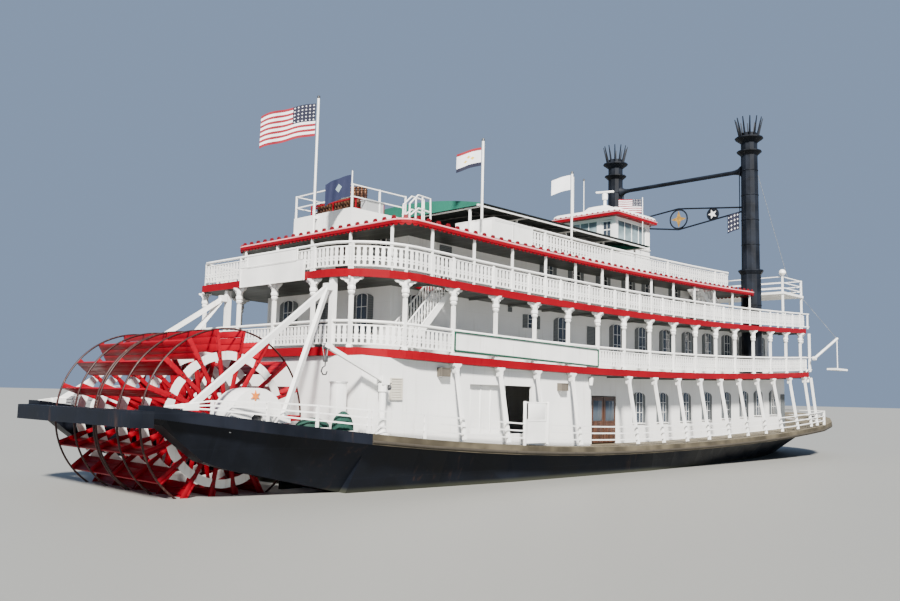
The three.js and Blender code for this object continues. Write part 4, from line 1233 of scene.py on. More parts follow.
# Windows; each row: house node, deck node that it stands on, window style, places along X
WINDOW_STYLES = {
    "boiler": {"half": 0.031, "height": 0.15, "sill": 0.075, "rise": 0.02, "shutter": 0.03},
    "texas": {"half": 0.03, "height": 0.11, "sill": 0.088, "rise": 0.022, "shutter": 0.03},
    "main": {"half": 0.028, "height": 0.15, "sill": 0.093, "rise": 0.024, "shutter": 0.028},
    "small": {"half": 0.026, "height": 0.06, "sill": 0.158, "rise": 0.003, "shutter": 0.032},
}
BOILER_WINDOWS = (-1.62, -0.71, -0.27, -0.044, 0.19, 0.42, 0.645, 0.873, 1.1, 1.318)
WINDOWS = (
    ("boiler_house", "boiler_deck", "boiler", BOILER_WINDOWS),
    ("boiler_house", "boiler_deck", "small", (-0.93,)),
    ("texas_house", "texas_deck", "texas", (-0.79, -0.58, -0.357, -0.135, 0.05, 0.318)),
    ("main_house_fore", "main_deck_middle", "main", (-0.118, 0.104, 0.338, 0.572, 0.8, 1.02, 1.21, 1.42)),
)
STERN_WINDOWS = (("boiler_house", "boiler_deck", "boiler", (-0.235, 0.235)),)
STERN_DOORS = (-0.04, 0.04)
# Doors in the side walls: house, deck, place along X, half width, and heights of the foot and head
SIDE_DOORS = (
    ("boiler_house", "boiler_deck", -0.484, 0.034, 0.004, 0.2),
    ("texas_house", "texas_deck", 0.512, 0.03, 0.004, 0.17),
    ("texas_house", "texas_deck", -1.45, 0.034, 0.004, 0.17),
    ("boiler_house", "boiler_deck", -1.076, 0.013, 0.217, 0.238),
    ("main_house_fore", "main_deck_middle", 1.555, 0.03, 0.004, 0.22),
)


def window_parts(style):
    """Templates of one window: its white surround, its glass and its pair of shutters"""
    half, height, rise, shutter = (style[key] for key in ("half", "height", "rise", "shutter"))
    wide = half + shutter
    hood = arched_slab("hood", wide * 0.97, height + 0.008, rise + 0.008, 0.002)
    frame = arched_slab("frame", half + 0.0015, height + 0.001, rise * 0.5, 0.0046)
    sill = block("sill", (-wide, -0.006, -0.004), (wide, 0, 0))
    bars = [block("bar", (-0.0011, -0.0068, 0), (0.0011, -0.004, height - 0.004))]
    for share in (0.34, 0.66):
        z = height * share
        bars.append(block("bar", (-half, -0.0068, z - 0.001), (half, -0.004, z + 0.001)))
    pane = moved(arched_slab("pane", half - 0.0025, height - 0.003, rise * 0.5, 0.0054), at(0, 0, 0.002))
    leaves = arched_slab("leaves", wide, height, rise, 0.0038)
    return joined("white", [hood, frame, sill, *bars]), pane, leaves


def fit_windows(style, places, name):
    white, pane, leaves = window_parts(style)
    shown(stamped(f"window_frames_{name}", white, places), white_paint)
    shown(stamped(f"window_panes_{name}", pane, places), glass)
    shown(stamped(f"window_shutters_{name}", leaves, places), shutter_paint)


class STEAMER_OT_windows(Making):
    """Arched windows with shutters on the houses"""

    bl_idname = "steamer.windows"
    bl_label = "Windows"

    def make(self):
        for house, deck, style_name, xs in WINDOWS:
            style = WINDOW_STYLES[style_name]
            wall = HOUSE_WALLS[house]
            places = [
                facing_out(x, side, wall, top_of(deck, x, 0.5) + style["sill"])
                for x in xs for side in SIDES.values()
            ]
            fit_windows(style, places, f"{house}_{style_name}")
        for house, deck, style_name, ys in STERN_WINDOWS:
            style = WINDOW_STYLES[style_name]
            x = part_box(house)[0].x
            places = [standing(x, y, top_of(deck, x, 0.5) + style["sill"], -math.pi / 2) for y in ys]
            fit_windows(style, places, f"{house}_stern")
        self.doors()

    def doors(self):
        """Dark doors and a vent in the side walls, and a double door in the boiler house's after wall"""
        doors, frames = [], []
        for house, deck, x, half, low, high in SIDE_DOORS:
            for side in SIDES.values():
                place = facing_out(x, side, HOUSE_WALLS[house], top_of(deck, x, 0.5))
                door = panelled("door", (-half, -0.004, low), (half, 0, high), 0.005, 0.0015)
                frame = block("frame", (-half - 0.005, -0.002, low), (half + 0.005, 0.0, high + 0.005))
                doors.append(moved(door, place))
                frames.append(moved(frame, place))
        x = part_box("boiler_house")[0].x
        z = top_of("boiler_deck", x - 0.02, 0)
        for y in STERN_DOORS:
            door = panelled("door", (-0.038, -0.004, 0.004), (0.038, 0, 0.2), 0.005, 0.0015)
            doors.append(moved(door, standing(x, y, z, -math.pi / 2)))
        shown(joined("house_doors", doors), shutter_paint)
        shown(joined("house_door_frames", frames), white_paint)


# Blank boards in their frames
BOARD = {"aft": (-1.572, 0.012, 0.09), "fore": (-0.648, 0.002, 0.084), "outer": 0.546, "frame": 0.009}
# The stern's board has two steps; each is a half width and the heights of its lower and upper edge
STERN_BOARD = {"x": -2.009, "lip": 0.0022, "steps": ((0.205, -0.002, 0.076), (0.16, 0.07, 0.118))}


class STEAMER_OT_boards(Making):
    """Green frames and white faces of the blank boards"""

    bl_idname = "steamer.boards"
    bl_label = "Boards"

    def make(self):
        frames, faces = [], []
        for side in SIDES.values():
            frames += self.side_frame(side)
        shown(joined("board_frames", frames), green_paint)
        edge = bottom_of("texas_deck", STERN + 0.01, 0)
        x, lip = STERN_BOARD["x"], STERN_BOARD["lip"]
        for half, z0, z1 in STERN_BOARD["steps"]:
            faces.append(block("lip", (x - 0.0015, -half, edge + z0), (x + 0.001, half, edge + z0 + lip)))
            faces.append(block("lip", (x - 0.0015, -half, edge + z1 - lip), (x + 0.001, half, edge + z1)))
            for y in (-half, half - lip):
                faces.append(block("lip", (x - 0.0015, y, edge + z0), (x + 0.001, y + lip, edge + z1)))
        shown(joined("stern_board_lips", faces), white_paint)

    def side_frame(self, side):
        """A frame along the straight edges of the board"""
        y = side * (BOARD["outer"] + 0.001)
        half = BOARD["frame"] / 2
        corners = []
        for (x, low, high), inwards in ((BOARD["aft"], half), (BOARD["fore"], -half)):
            z = top_of("boiler_deck", x, 0.5)
            corners.append([(x + inwards, y, z + low + half), (x + inwards, y, z + high - half)])
        (a, b), (c, d) = corners
        return [piped("frame", [[a, b, d, c, a]], half, 1)]


# Paddle wheel; the places across are those of its six frames, two of them close together in the middle
WHEEL_FRAMES_Y = (-0.305, -0.155, -0.0085, 0.0085, 0.155, 0.305)
WHEEL_SECTORS = 18
SPOKE = {"inner": 0.045, "outer": 0.286, "half": 0.0068, "thick": 0.0034}
BAND = {"low": 0.189, "high": 0.216, "thick": 0.0022}
BUCKET = {
    "low": 0.2195, "high": 0.2865, "shift": 0.0095, "half": 0.0028, "long": 0.3125, "boards": 3,
    "gap": 0.0007,
}
RIM = {"radius": 0.2873, "thick": 0.0033}
BOLT_RADII = (0.07, 0.195, 0.21)


class STEAMER_OT_wheel(Making):
    """Rings, spokes, white plates, bucket boards and hubs of the paddle wheel"""

    bl_idname = "steamer.wheel"
    bl_label = "Wheel"

    def make(self):
        hub = WHEEL_AXIS
        turns = [math.radians(360 / WHEEL_SECTORS * k) for k in range(WHEEL_SECTORS)]
        centre = Matrix.Translation(hub)
        spin = [Matrix.Rotation(-a, 4, "Y") for a in turns]
        frames = [at(0, y, 0) for y in WHEEL_FRAMES_Y]
        inner, outer, half, thick = (SPOKE[key] for key in ("inner", "outer", "half", "thick"))
        spoke = block("spoke", (inner, -thick, -half), (outer, thick, half), 0.0012)
        spokes = stamped(
            "wheel_spokes", spoke, [centre @ frame @ turn for frame in frames for turn in spin],
        )
        pieces = [spokes, self.buckets(centre, spin), self.hubs(centre)]
        frame = shown(joined("wheel_frame", pieces), wheel_paint, WHEEL)
        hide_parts("paddle_wheel")
        half_turn = Matrix.Rotation(math.radians(180 / WHEEL_SECTORS), 4, "Y")
        plates = [centre @ frame @ turn @ half_turn for frame in frames for turn in spin]
        shown(stamped("wheel_bands", self.plate(), plates), band_paint, WHEEL)
        self.rims()
        self.bolts(centre, spin)

    def plate(self):
        """A plate between two spokes, bent at its middle"""
        middle = (BAND["low"] + BAND["high"]) / 2
        deep = (BAND["high"] - BAND["low"]) / 2
        reach = middle * math.sin(math.radians(180 / WHEEL_SECTORS)) - SPOKE["half"] - 0.0015
        inset = middle * (1 - math.cos(math.radians(180 / WHEEL_SECTORS)))
        plate = sawn(
            "plate", 2 * BAND["thick"],
            ((-reach, deep), (-reach * 0.33, deep), (reach * 0.33, deep), (reach, deep)),
        )
        for corner in plate.data.vertices:
            corner.co.x += middle - inset * (corner.co.z / reach) ** 2
        return plate

    def buckets(self, centre, spin):
        """Each bucket is made of boards that lie one outside the other"""
        deep = (BUCKET["high"] - BUCKET["low"]) / BUCKET["boards"]
        boards = []
        for k in range(BUCKET["boards"]):
            low = BUCKET["low"] + deep * k + BUCKET["gap"]
            z = BUCKET["shift"]
            boards.append(block(
                "board",
                (low, -BUCKET["long"], z - BUCKET["half"]),
                (low + deep - 2 * BUCKET["gap"], BUCKET["long"], z + BUCKET["half"]),
                0.0008,
            ))
        return stamped("wheel_buckets", joined("bucket", boards), [centre @ turn for turn in spin])

    def hubs(self, centre):
        rows = ((-0.0065, 0.046), (-0.005, 0.053), (0.005, 0.053), (0.0065, 0.046))
        boss = ((-0.014, 0.024), (-0.0125, 0.03), (0.0125, 0.03), (0.014, 0.024))
        places = [centre @ at(0, y, 0) @ QUARTER_X for y in WHEEL_FRAMES_Y]
        flanges = stamped("flanges", turned("flange", rows, 24), places)
        bosses = stamped("bosses", turned("boss", boss, 20), places)
        return joined("hubs", [flanges, bosses])

    def rims(self):
        """Thin round rings at the ends of the spokes"""
        lines = []
        for y in WHEEL_FRAMES_Y:
            angles = [math.radians(4 * k) for k in range(91)]
            lines.append([
                (WHEEL_AXIS.x + RIM["radius"] * math.cos(a), y, WHEEL_AXIS.z + RIM["radius"] * math.sin(a))
                for a in angles
            ])
        shown(piped("wheel_rims", lines, RIM["thick"], 1), rim_paint, WHEEL, 60)

    def bolts(self, centre, spin):
        """Bolt heads through the plates, the buckets and the flanges"""
        rows = ((-0.0052, 0.0018), (-0.0046, 0.0026), (0.0046, 0.0026), (0.0052, 0.0018))
        bolt = moved(turned("bolt", rows, 6), QUARTER_X)
        places = [
            centre @ at(0, y, 0) @ turn @ at(radius, 0, 0)
            for y in WHEEL_FRAMES_Y for turn in spin for radius in BOLT_RADII
        ]
        shown(stamped("wheel_bolts", bolt, places), rim_paint, WHEEL, 50)


def flat_star(points, outer, inner, thick):
    """A flat star: a circle whose every other corner is drawn in"""
    only()
    bpy.ops.mesh.primitive_circle_add(vertices=2 * points, radius=outer, fill_type="NGON")
    obj = settled(bpy.context.object, "star")
    corners = [corner.co.copy() for corner in obj.data.vertices]
    with Editing(obj, "VERT") as edit:
        edit.pick(lambda place, _: any((place - corner).length < 1e-5 for corner in corners[1::2]))
        edit.resize(inner / outer, inner / outer, 1)
        edit.all()
        edit.shift(0, 0, -thick / 2)
        edit.extrude(0, 0, thick)
        edit.face_outwards()
    return obj


# Heights of the bands round the chimneys
CHIMNEY_BANDS = (0.93, 1.06, 1.42, 1.57, 1.72, 1.87)
EMBLEM = {"z": 1.636, "disc_y": 0.233, "disc_z": 1.638}
# The chimneys' radius at the foot, and their taper above the collar
CHIMNEY = {
    "foot": 0.0575, "collar_z": 1.25, "above": 0.0525, "taper": 0.005, "from_z": 1.266, "over": 0.834,
}


def chimney_radius(z):
    if z < CHIMNEY["collar_z"]:
        return CHIMNEY["foot"]
    return CHIMNEY["above"] - CHIMNEY["taper"] * (z - CHIMNEY["from_z"]) / CHIMNEY["over"]


class STEAMER_OT_chimneys(Making):
    """Bands, strut collars and ornaments between the chimneys"""

    bl_idname = "steamer.chimneys"
    bl_label = "Chimneys"

    def make(self):
        self.bands()
        self.strut()
        self.ornaments()

    def bands(self):
        bands = []
        for side in SIDES.values():
            for z in CHIMNEY_BANDS:
                radius = chimney_radius(z)
                proud = radius + 0.0012
                rows = ((-0.003, radius), (-0.002, proud), (0.002, proud), (0.003, radius))
                bands.append(moved(turned("band", rows, 32), at(CHIMNEY_X, side * CHIMNEY_Y, z)))
        shown(joined("chimney_bands", bands), chimney_paint)

    def strut(self):
        """Collars where the strut meets the chimneys"""
        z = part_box("chimney_spreader")[1].z - 0.013
        collars = []
        rows = ((0.0, 0.034), (0.006, 0.03), (0.018, 0.02), (0.04, 0.0145), (0.052, 0.0135))
        for side in SIDES.values():
            place = at(
                CHIMNEY_X, side * (CHIMNEY_Y - 0.049), z,
            ) @ Matrix.Rotation(side * math.pi / 2, 4, "X")
            collars.append(moved(turned("collar", rows, 20), place))
        shown(joined("strut_collars", collars), chimney_paint)

    def ornaments(self):
        star = flat_star(4, 0.052, 0.018, 0.004)
        shown(moved(star, at(CHIMNEY_X, 0, EMBLEM["z"]) @ QUARTER_Y), gilding)
        discs, five_points = [], []
        rows = ((-0.003, 0.037), (-0.002, 0.04), (0.002, 0.04), (0.003, 0.037))
        for side in SIDES.values():
            place = at(CHIMNEY_X, side * EMBLEM["disc_y"], EMBLEM["disc_z"]) @ QUARTER_Y
            discs.append(moved(turned("disc", rows, 32), place))
            five_points.append(moved(flat_star(5, 0.03, 0.0125, 0.0085), place))
        shown(joined("spreader_discs", discs), chimney_paint)
        shown(joined("spreader_stars", five_points), white_paint)


# Flags; hoist is the place of the staff's line, and droop and swing are angles in degrees
FLAG_HEADING = math.atan2(0.6, -0.8)
FLAGS = {
    "ensign": {
        "hoist": (
            -1.8065, 0.0325,
        ), "top": 1.652, "length": 0.235, "height": 0.135, "droop": 17, "swing": 34,
        "turns": 1.7, "pattern": striped_flag, "node": "flag_stern", "staff": "calliope_house",
    },
    "house_flag": {
        "hoist": (-1.3775, -0.486), "top": 1.47, "length": 0.108, "height": 0.074, "droop": 20, "swing": 26,
        "turns": 1.2, "pattern": banded_flag, "node": "flag_middle", "staff": "awning_frame",
    },
    "white_flag": {
        "hoist": (-0.782, -0.484), "top": 1.478, "length": 0.094, "height": 0.066, "droop": 20, "swing": 22,
        "turns": 1.1, "pattern": white_flag, "node": None, "staff": "awning_frame",
    },
    "blue_flag": {
        "hoist": (-1.782, -0.178), "top": 1.328, "length": 0.112, "height": 0.085, "droop": 24, "swing": 38,
        "turns": 1.9, "pattern": blue_flag, "node": None, "staff": "calliope_house",
    },
    "small_ensign": {
        "hoist": (0.249, -0.211), "top": 1.594, "length": 0.135, "height": 0.078, "droop": 4, "swing": 18,
        "turns": 1.4, "pattern": striped_flag, "node": None, "staff": "pilothouse",
    },
    "star_flag": {
        "hoist": (1.027, -0.404), "top": 1.628, "length": 0.085, "height": 0.105, "droop": 22, "swing": 30,
        "turns": 1.3, "pattern": star_flag, "node": None, "staff": "chimney_spreader",
    },
}
STAFFS = (
    ((-1.776, -0.178, 1.28), (-1.776, -0.178, 1.345)),
    ((0.255, -0.214, 1.31), (0.255, -0.214, 1.605)),
    ((0.03, 0.02, 1.5), (0.03, 0.02, 1.69)),
    ((0.03, 0.09, 1.5), (0.03, 0.09, 1.725)),
)
STAFF_TOPS = ((-1.796, 0.03, 1.675), (-1.369, -0.488, 1.497), (-0.775, -0.488, 1.484), (0.03, 0.02, 1.69))


class STEAMER_OT_flags(Making):
    """Flags that stream from their staffs, and the slim staffs and aerials"""

    bl_idname = "steamer.flags"
    bl_label = "Flags"

    def make(self):
        for name, flag in FLAGS.items():
            cloth = self.cloth(name, flag)
            cloth.data.materials.append(bunting(f"{name}_cloth", flag["pattern"]))
            only(cloth)
            bpy.ops.object.shade_smooth_by_angle(angle=math.radians(60))
            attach(cloth, SHIP)
            if flag["node"]:
                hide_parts(flag["node"])
        shown(piped("slim_staffs", STAFFS, 0.0022), white_paint)
        knob = turned("staff_knobs", ((0, 0.003), (0.003, 0.0062), (0.009, 0.0062), (0.012, 0.003)), 12)
        shown(stamped("staff_knobs", knob, [at(*top) for top in STAFF_TOPS]), steel)

    def cloth(self, name, flag):
        """A grid whose rows keep their length while they swing from side to side"""
        columns, rows = 32, 10
        only()
        bpy.ops.mesh.primitive_grid_add(x_subdivisions=columns, y_subdivisions=rows, size=1)
        obj = settled(bpy.context.object, name)
        step = flag["length"] / columns
        for corner in obj.data.vertices:
            along, up = round((corner.co.x + 0.5) * columns), corner.co.y + 0.5
            place = Vector((*flag["hoist"], flag["top"] - (1 - up) * flag["height"]))
            for i in range(along):
                place += step * self.heading(flag, (i + 0.5) / columns, up)
            corner.co = place
        return modified(obj, "SOLIDIFY", thickness=0.0009, offset=0)

    def heading(self, flag, share, up):
        swing = math.radians(flag["swing"]) * math.sqrt(share)
        turn = FLAG_HEADING + swing * math.sin(2 * math.pi * flag["turns"] * share + 0.9 * up)
        droop = math.radians(flag["droop"]) * (0.7 + 0.6 * share)
        return Vector(
            (math.cos(turn) * math.cos(droop), math.sin(turn) * math.cos(droop), -math.sin(droop))
        )


# Awning over the after promenade
AWNING = {"aft": -1.355, "fore": -0.11, "half": 0.478, "eaves": 1.2465, "rise": 0.053, "lift": 0.005}
AWNING_BARS = (-1.343, -1.05, -0.7, -0.4, -0.122)


class STEAMER_OT_awning(Making):
    """Canvas stretched over hoops, with its closed ends drawn down to the frame"""

    bl_idname = "steamer.awning"
    bl_label = "Awning"

    ALONG, ACROSS, GABLE = 40, 24, 3

    def make(self):
        only()
        bpy.ops.mesh.primitive_grid_add(x_subdivisions=self.ALONG, y_subdivisions=self.ACROSS, size=2)
        cloth = settled(bpy.context.object, "awning_cloth")
        for corner in cloth.data.vertices:
            corner.co = self.spot(round((corner.co.x + 1) / 2 * self.ALONG), corner.co.y)
        shown(modified(cloth, "SOLIDIFY", thickness=0.0016, offset=0), canvas, smooth=50)
        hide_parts("awning")
        self.hoops()

    def spot(self, column, across):
        """Place of a point of the canvas; it sags a little between the hoops"""
        arch = AWNING["rise"] * (1 - across ** 2)
        y = across * AWNING["half"]
        for end, x in ((column, AWNING["aft"]), (self.ALONG - column, AWNING["fore"])):
            if end < self.GABLE:
                return Vector((x, y, AWNING["eaves"] + (arch + AWNING["lift"]) * end / self.GABLE))
        share = (column - self.GABLE) / (self.ALONG - 2 * self.GABLE)
        x = AWNING["aft"] + (AWNING["fore"] - AWNING["aft"]) * share
        for a, b in zip(AWNING_BARS, AWNING_BARS[1:]):
            if a <= x <= b:
                arch -= 0.005 * math.sin(math.pi * (x - a) / (b - a)) * (1 - across ** 2)
        return Vector((x, y, AWNING["eaves"] + AWNING["lift"] + arch))

    def hoops(self):
        lines = []
        for x in AWNING_BARS:
            shares = [-0.975 + 1.95 * i / 16 for i in range(17)]
            arch = [AWNING["rise"] * (1 - share ** 2) + AWNING["eaves"] - 0.003 for share in shares]
            lines.append([(x, share * AWNING["half"], z) for share, z in zip(shares, arch)])
        for side in SIDES.values():
            y = side * 0.24
            z = AWNING["eaves"] + AWNING["rise"] * 0.75 - 0.004
            lines.append([(AWNING_BARS[0], y, z), (AWNING_BARS[-1], y, z)])
        shown(piped("awning_hoops", lines, 0.003), steel)


# Calliope: whistles on a red stand
CALLIOPE = {"x": -1.655, "pitch": 0.023, "count": 11, "floor": 1.2, "pipe_top": 1.298, "step": 0.003}
MANIFOLDS = (-1.71, -1.595)
STAND = {"aft": -1.725, "fore": -1.58, "half": 0.142, "rails": (1.212, 1.252), "top": 1.258}
CONTROL_BOX = (-1.66, -0.16)
WHISTLE_CUP = (
    (0.0, 0.0088), (0.003, 0.0092), (0.0045, 0.0062), (0.009, 0.0062), (0.0095, 0.009), (0.0165, 0.0086),
    (0.019, 0.003),
)
SHORT_WHISTLE = ((0.0, 0.006), (0.03, 0.006), (0.031, 0.0085), (0.036, 0.0085), (0.038, 0.004))


class STEAMER_OT_calliope(Making):
    """Whistle cups, manifold and red stand of the calliope, and the grey box beside it"""

    bl_idname = "steamer.calliope"
    bl_label = "Calliope"

    def make(self):
        places = []
        for i in range(CALLIOPE["count"]):
            y = (i - (CALLIOPE["count"] - 1) / 2) * CALLIOPE["pitch"]
            top = CALLIOPE["pipe_top"] + CALLIOPE["step"] * i
            places += [at(CALLIOPE["x"], y, top - 0.02 * k) for k in range(2)]
        shown(stamped("whistle_cups", turned("cup", WHISTLE_CUP, 12), places), brass)
        short = turned("short", SHORT_WHISTLE, 10)
        rows = [
            at(x, (i - 6) * 0.019, 1.225 + 0.004 * (i % 2)) for i in range(13) for x in MANIFOLDS
        ]
        shown(stamped("short_whistles", short, rows), brass)
        pipes = [[(x, -0.135, 1.224), (x, 0.135, 1.224)] for x in MANIFOLDS]
        shown(piped("whistle_manifolds", pipes, 0.0075, 2), brass)
        self.stand()
        shown(self.control_box(), grey_paint)

    def stand(self):
        """Red rails and legs round the whistles"""
        x0, x1, y = STAND["aft"], STAND["fore"], STAND["half"]
        lines = []
        for z in STAND["rails"]:
            lines.append([(x0, -y, z), (x1, -y, z), (x1, y, z), (x0, y, z), (x0, -y, z)])
        for x in (x0, x1):
            for k in (-1, 0, 1):
                lines.append([(x, k * y, CALLIOPE["floor"] - 0.001), (x, k * y, STAND["top"])])
        shown(piped("calliope_stand", lines, 0.0036), red_paint)

    def control_box(self):
        """A grey box with a lid beside the whistles"""
        (x, y), z = CONTROL_BOX, CALLIOPE["floor"]
        low, high = (x - 0.045, y - 0.022, z - 0.001), (x + 0.045, y + 0.01, z + 0.042)
        box = panelled("box", low, high, 0.005, 0.0012)
        lid = block("lid", (x - 0.048, y - 0.025, z + 0.041), (x + 0.048, y + 0.013, z + 0.046), 0.0012)
        return joined("calliope_box", [box, lid])


# Pilothouse
PILOT = {
    "aft": 0.04, "fore": 0.385, "half": 0.18, "floor": 1.262, "eaves": 1.47, "low": 1.335,
    "high": 1.455,
}
# Ends and height of the rails under the side windows
GRABRAIL = (0.045, 0.38, 1.325)
PILOT_DOOR = (-0.156, -0.094)
CROWN_X = 0.2035
# Heights and half sizes of the roof's crown
CROWN_ROWS = (
    (1.4875, 0.193, 0.211), (1.4945, 0.196, 0.214), (1.504, 0.193, 0.211), (1.513, 0.182, 0.2),
    (1.5195, 0.162, 0.178), (1.524, 0.138, 0.146), (1.529, 0.112, 0.108), (1.537, 0.094, 0.083),
    (1.549, 0.084, 0.072), (1.56, 0.074, 0.063), (1.5665, 0.055, 0.046),
)
SMALL_CRENEL = ((0.0, 0.006, 0.003), (0.007, 0.006, 0.003), (0.0105, 0.0045, 0.002))
ROOF_RIM = ((0.0045, -0.2175), (0.4025, -0.2175), (0.4025, 0.2175), (0.0045, 0.2175))
SCANNER_X = 0.206
SCANNER_POST = ((1.56, 0.012), (1.57, 0.009), (1.61, 0.008), (1.615, 0.016), (1.645, 0.016), (1.65, 0.009))


class STEAMER_OT_pilothouse(Making):
    """Glazing, door, crowned roof, rails and lamps of the pilothouse"""

    bl_idname = "steamer.pilothouse"
    bl_label = "Pilothouse"

    def make(self):
        self.glazing()
        self.door()
        self.roof()
        self.lamps()

    def glazing(self):
        """Sashes in the middle of the wall; a row is a corner, a far corner and a number of lights"""
        low, high = PILOT["low"], PILOT["high"]
        half = PILOT["half"]
        inside = half - 0.006
        rows = [((0.066, side * inside), (0.345, side * inside), 4) for side in SIDES.values()]
        rows += [((PILOT["aft"] + 0.006, -0.06), (PILOT["aft"] + 0.006, 0.11), 3)]
        rows += [((PILOT["fore"] - 0.006, -0.15), (PILOT["fore"] - 0.006, 0.15), 4)]
        panes, frames = [], []
        for (x0, y0), (x1, y1), lights in rows:
            thick = Vector((0.0012, 0, 0)) if x0 == x1 else Vector((0, 0.0012, 0))
            a, b = Vector((x0, y0, low + 0.0006)), Vector((x1, y1, high - 0.0006))
            panes.append(block("pane", a - thick, b + thick, 0.0004))
            run = Vector((x1 - x0, y1 - y0, 0))
            lines = [[a, a + run, b, b - run, a]]
            for i in range(1, lights):
                foot = a + run * i / lights
                lines.append([foot, foot + Vector((0, 0, high - low))])
            frames.append(piped("sash", lines, 0.0032))
        shown(joined("pilothouse_panes", panes), pilot_glass)
        shown(joined("pilothouse_sashes", frames), white_paint)
        x0, x1, z = GRABRAIL
        rails = [
            [(x0, side * (half + 0.006), z), (x1, side * (half + 0.006), z)] for side in SIDES.values()
        ]
        shown(piped("pilothouse_grabrails", rails, 0.0028), white_paint)

    def door(self):
        """Two panes over a panel, on the leaf of the after door"""
        y0, y1 = PILOT_DOOR
        middle = (y0 + y1) / 2
        panes, frames = [], []
        for low, high in ((1.352, 1.398), (1.404, 1.444)):
            for a, b in ((y0 + 0.009, middle - 0.0015), (middle + 0.0015, y1 - 0.009)):
                panes.append(block("pane", (0.0412, a, low), (0.0508, b, high), 0.0004))
        frames.append(block("panel", (0.0405, y0 + 0.01, 1.28), (0.0515, y1 - 0.01, 1.342), 0.0015))
        y = y1 - 0.006
        handle = piped("handle", [[(0.0405, y, 1.34), (0.035, y, 1.34), (0.035, y, 1.356)]], 0.0014)
        shown(joined("pilothouse_door_panes", panes), glass, body="pilothouse_door")
        shown(joined("pilothouse_door_panel", [*frames, handle]), white_paint, "pilothouse_door")

    def roof(self):
        """The curved crown of the roof, blocks along its rim and a line round the rim, painted pink as a
        painted highlight
        """
        crown = moved(raised("pilothouse_crown", "square", CROWN_ROWS), at(CROWN_X, 0, 0))
        angle = math.radians(50)
        modified(crown, "BEVEL", width=0.006, segments=2, limit_method="ANGLE", angle_limit=angle)
        shown(crown, white_paint)
        places = []
        x0, x1, half, top = 0.009, 0.398, 0.213, CROWN_ROWS[0][0]
        for x in spaced(x0, x1, 0.035):
            places += [standing(x, side * half, top) for side in SIDES.values()]
        for y in spaced(-half, half, 0.035):
            places += [standing(x, y, top, math.pi / 2) for x in (x0, x1)]
        crenel = raised("crenel", "square", SMALL_CRENEL)
        shown(stamped("pilothouse_crenels", crenel, places), crenel_paint, smooth=20)
        low = PILOT["eaves"] + 0.0165
        rim = [(x, y, low) for x, y in ROOF_RIM]
        # The rim line's pink is a painted highlight along the red rim
        shown(piped("pilothouse_rim_line", [[*rim, rim[0]]], 0.0026), pink_highlight_paint)

    def lamps(self):
        """A scanner on its post, a searchlight and two horns on the roof"""
        post = moved(turned("post", SCANNER_POST, 14), at(SCANNER_X, 0, 0))
        bar = block("bar", (0.198, -0.052, 1.652), (0.214, 0.052, 1.662), 0.003)
        bar = moved(bar, at(SCANNER_X, 0, 0) @ Matrix.Rotation(0.35, 4, "Z") @ at(-SCANNER_X, 0, 0))
        light = turned("light", ((0, 0.016), (0.004, 0.02), (0.03, 0.02), (0.036, 0.016)), 18)
        light = moved(light, at(0.33, -0.1, 1.578) @ QUARTER_Y)
        stand = turned("stand", ((1.505, 0.01), (1.51, 0.006), (1.565, 0.006)), 10)
        stand = moved(stand, at(0.348, -0.1, 0))
        shown(joined("roof_scanner", [post, bar, light, stand]), white_paint)
        horn_rows = ((0.0, 0.003), (0.03, 0.0045), (0.045, 0.008), (0.052, 0.013), (0.053, 0.0115))
        horns = []
        for y in (-0.05, 0.05):
            horns.append(moved(turned("horn", horn_rows, 14), at(0.31, y, 1.552) @ QUARTER_Y))
        shown(joined("roof_horns", horns), brass)


# Crane on the starboard quarter
CRANE = {"x": -1.92, "y": -0.555, "pivot": 0.535, "reach": 0.244, "rise": 0.1}
CRANE_BASE = ((-0.001, 0.03), (0.005, 0.03), (0.009, 0.018), (0.03, 0.014))
WINCH_DRUM = ((-0.014, 0.01), (-0.012, 0.01), (-0.011, 0.006), (0.011, 0.006), (0.012, 0.01), (0.014, 0.01))
SHEAVE = (
    (-0.0045, 0.009), (-0.0035, 0.01), (-0.0015, 0.0075), (0.0015, 0.0075), (0.0035, 0.01), (0.0045, 0.009),
)
# Line of the hook: along the ship from the jib's tip, and down from the block
HOOK = (
    (-0.0015, 0.014), (-0.0015, 0.028), (-0.012, 0.034), (-0.016, 0.045), (-0.009, 0.056), (0.003, 0.055),
    (0.007, 0.045),
)


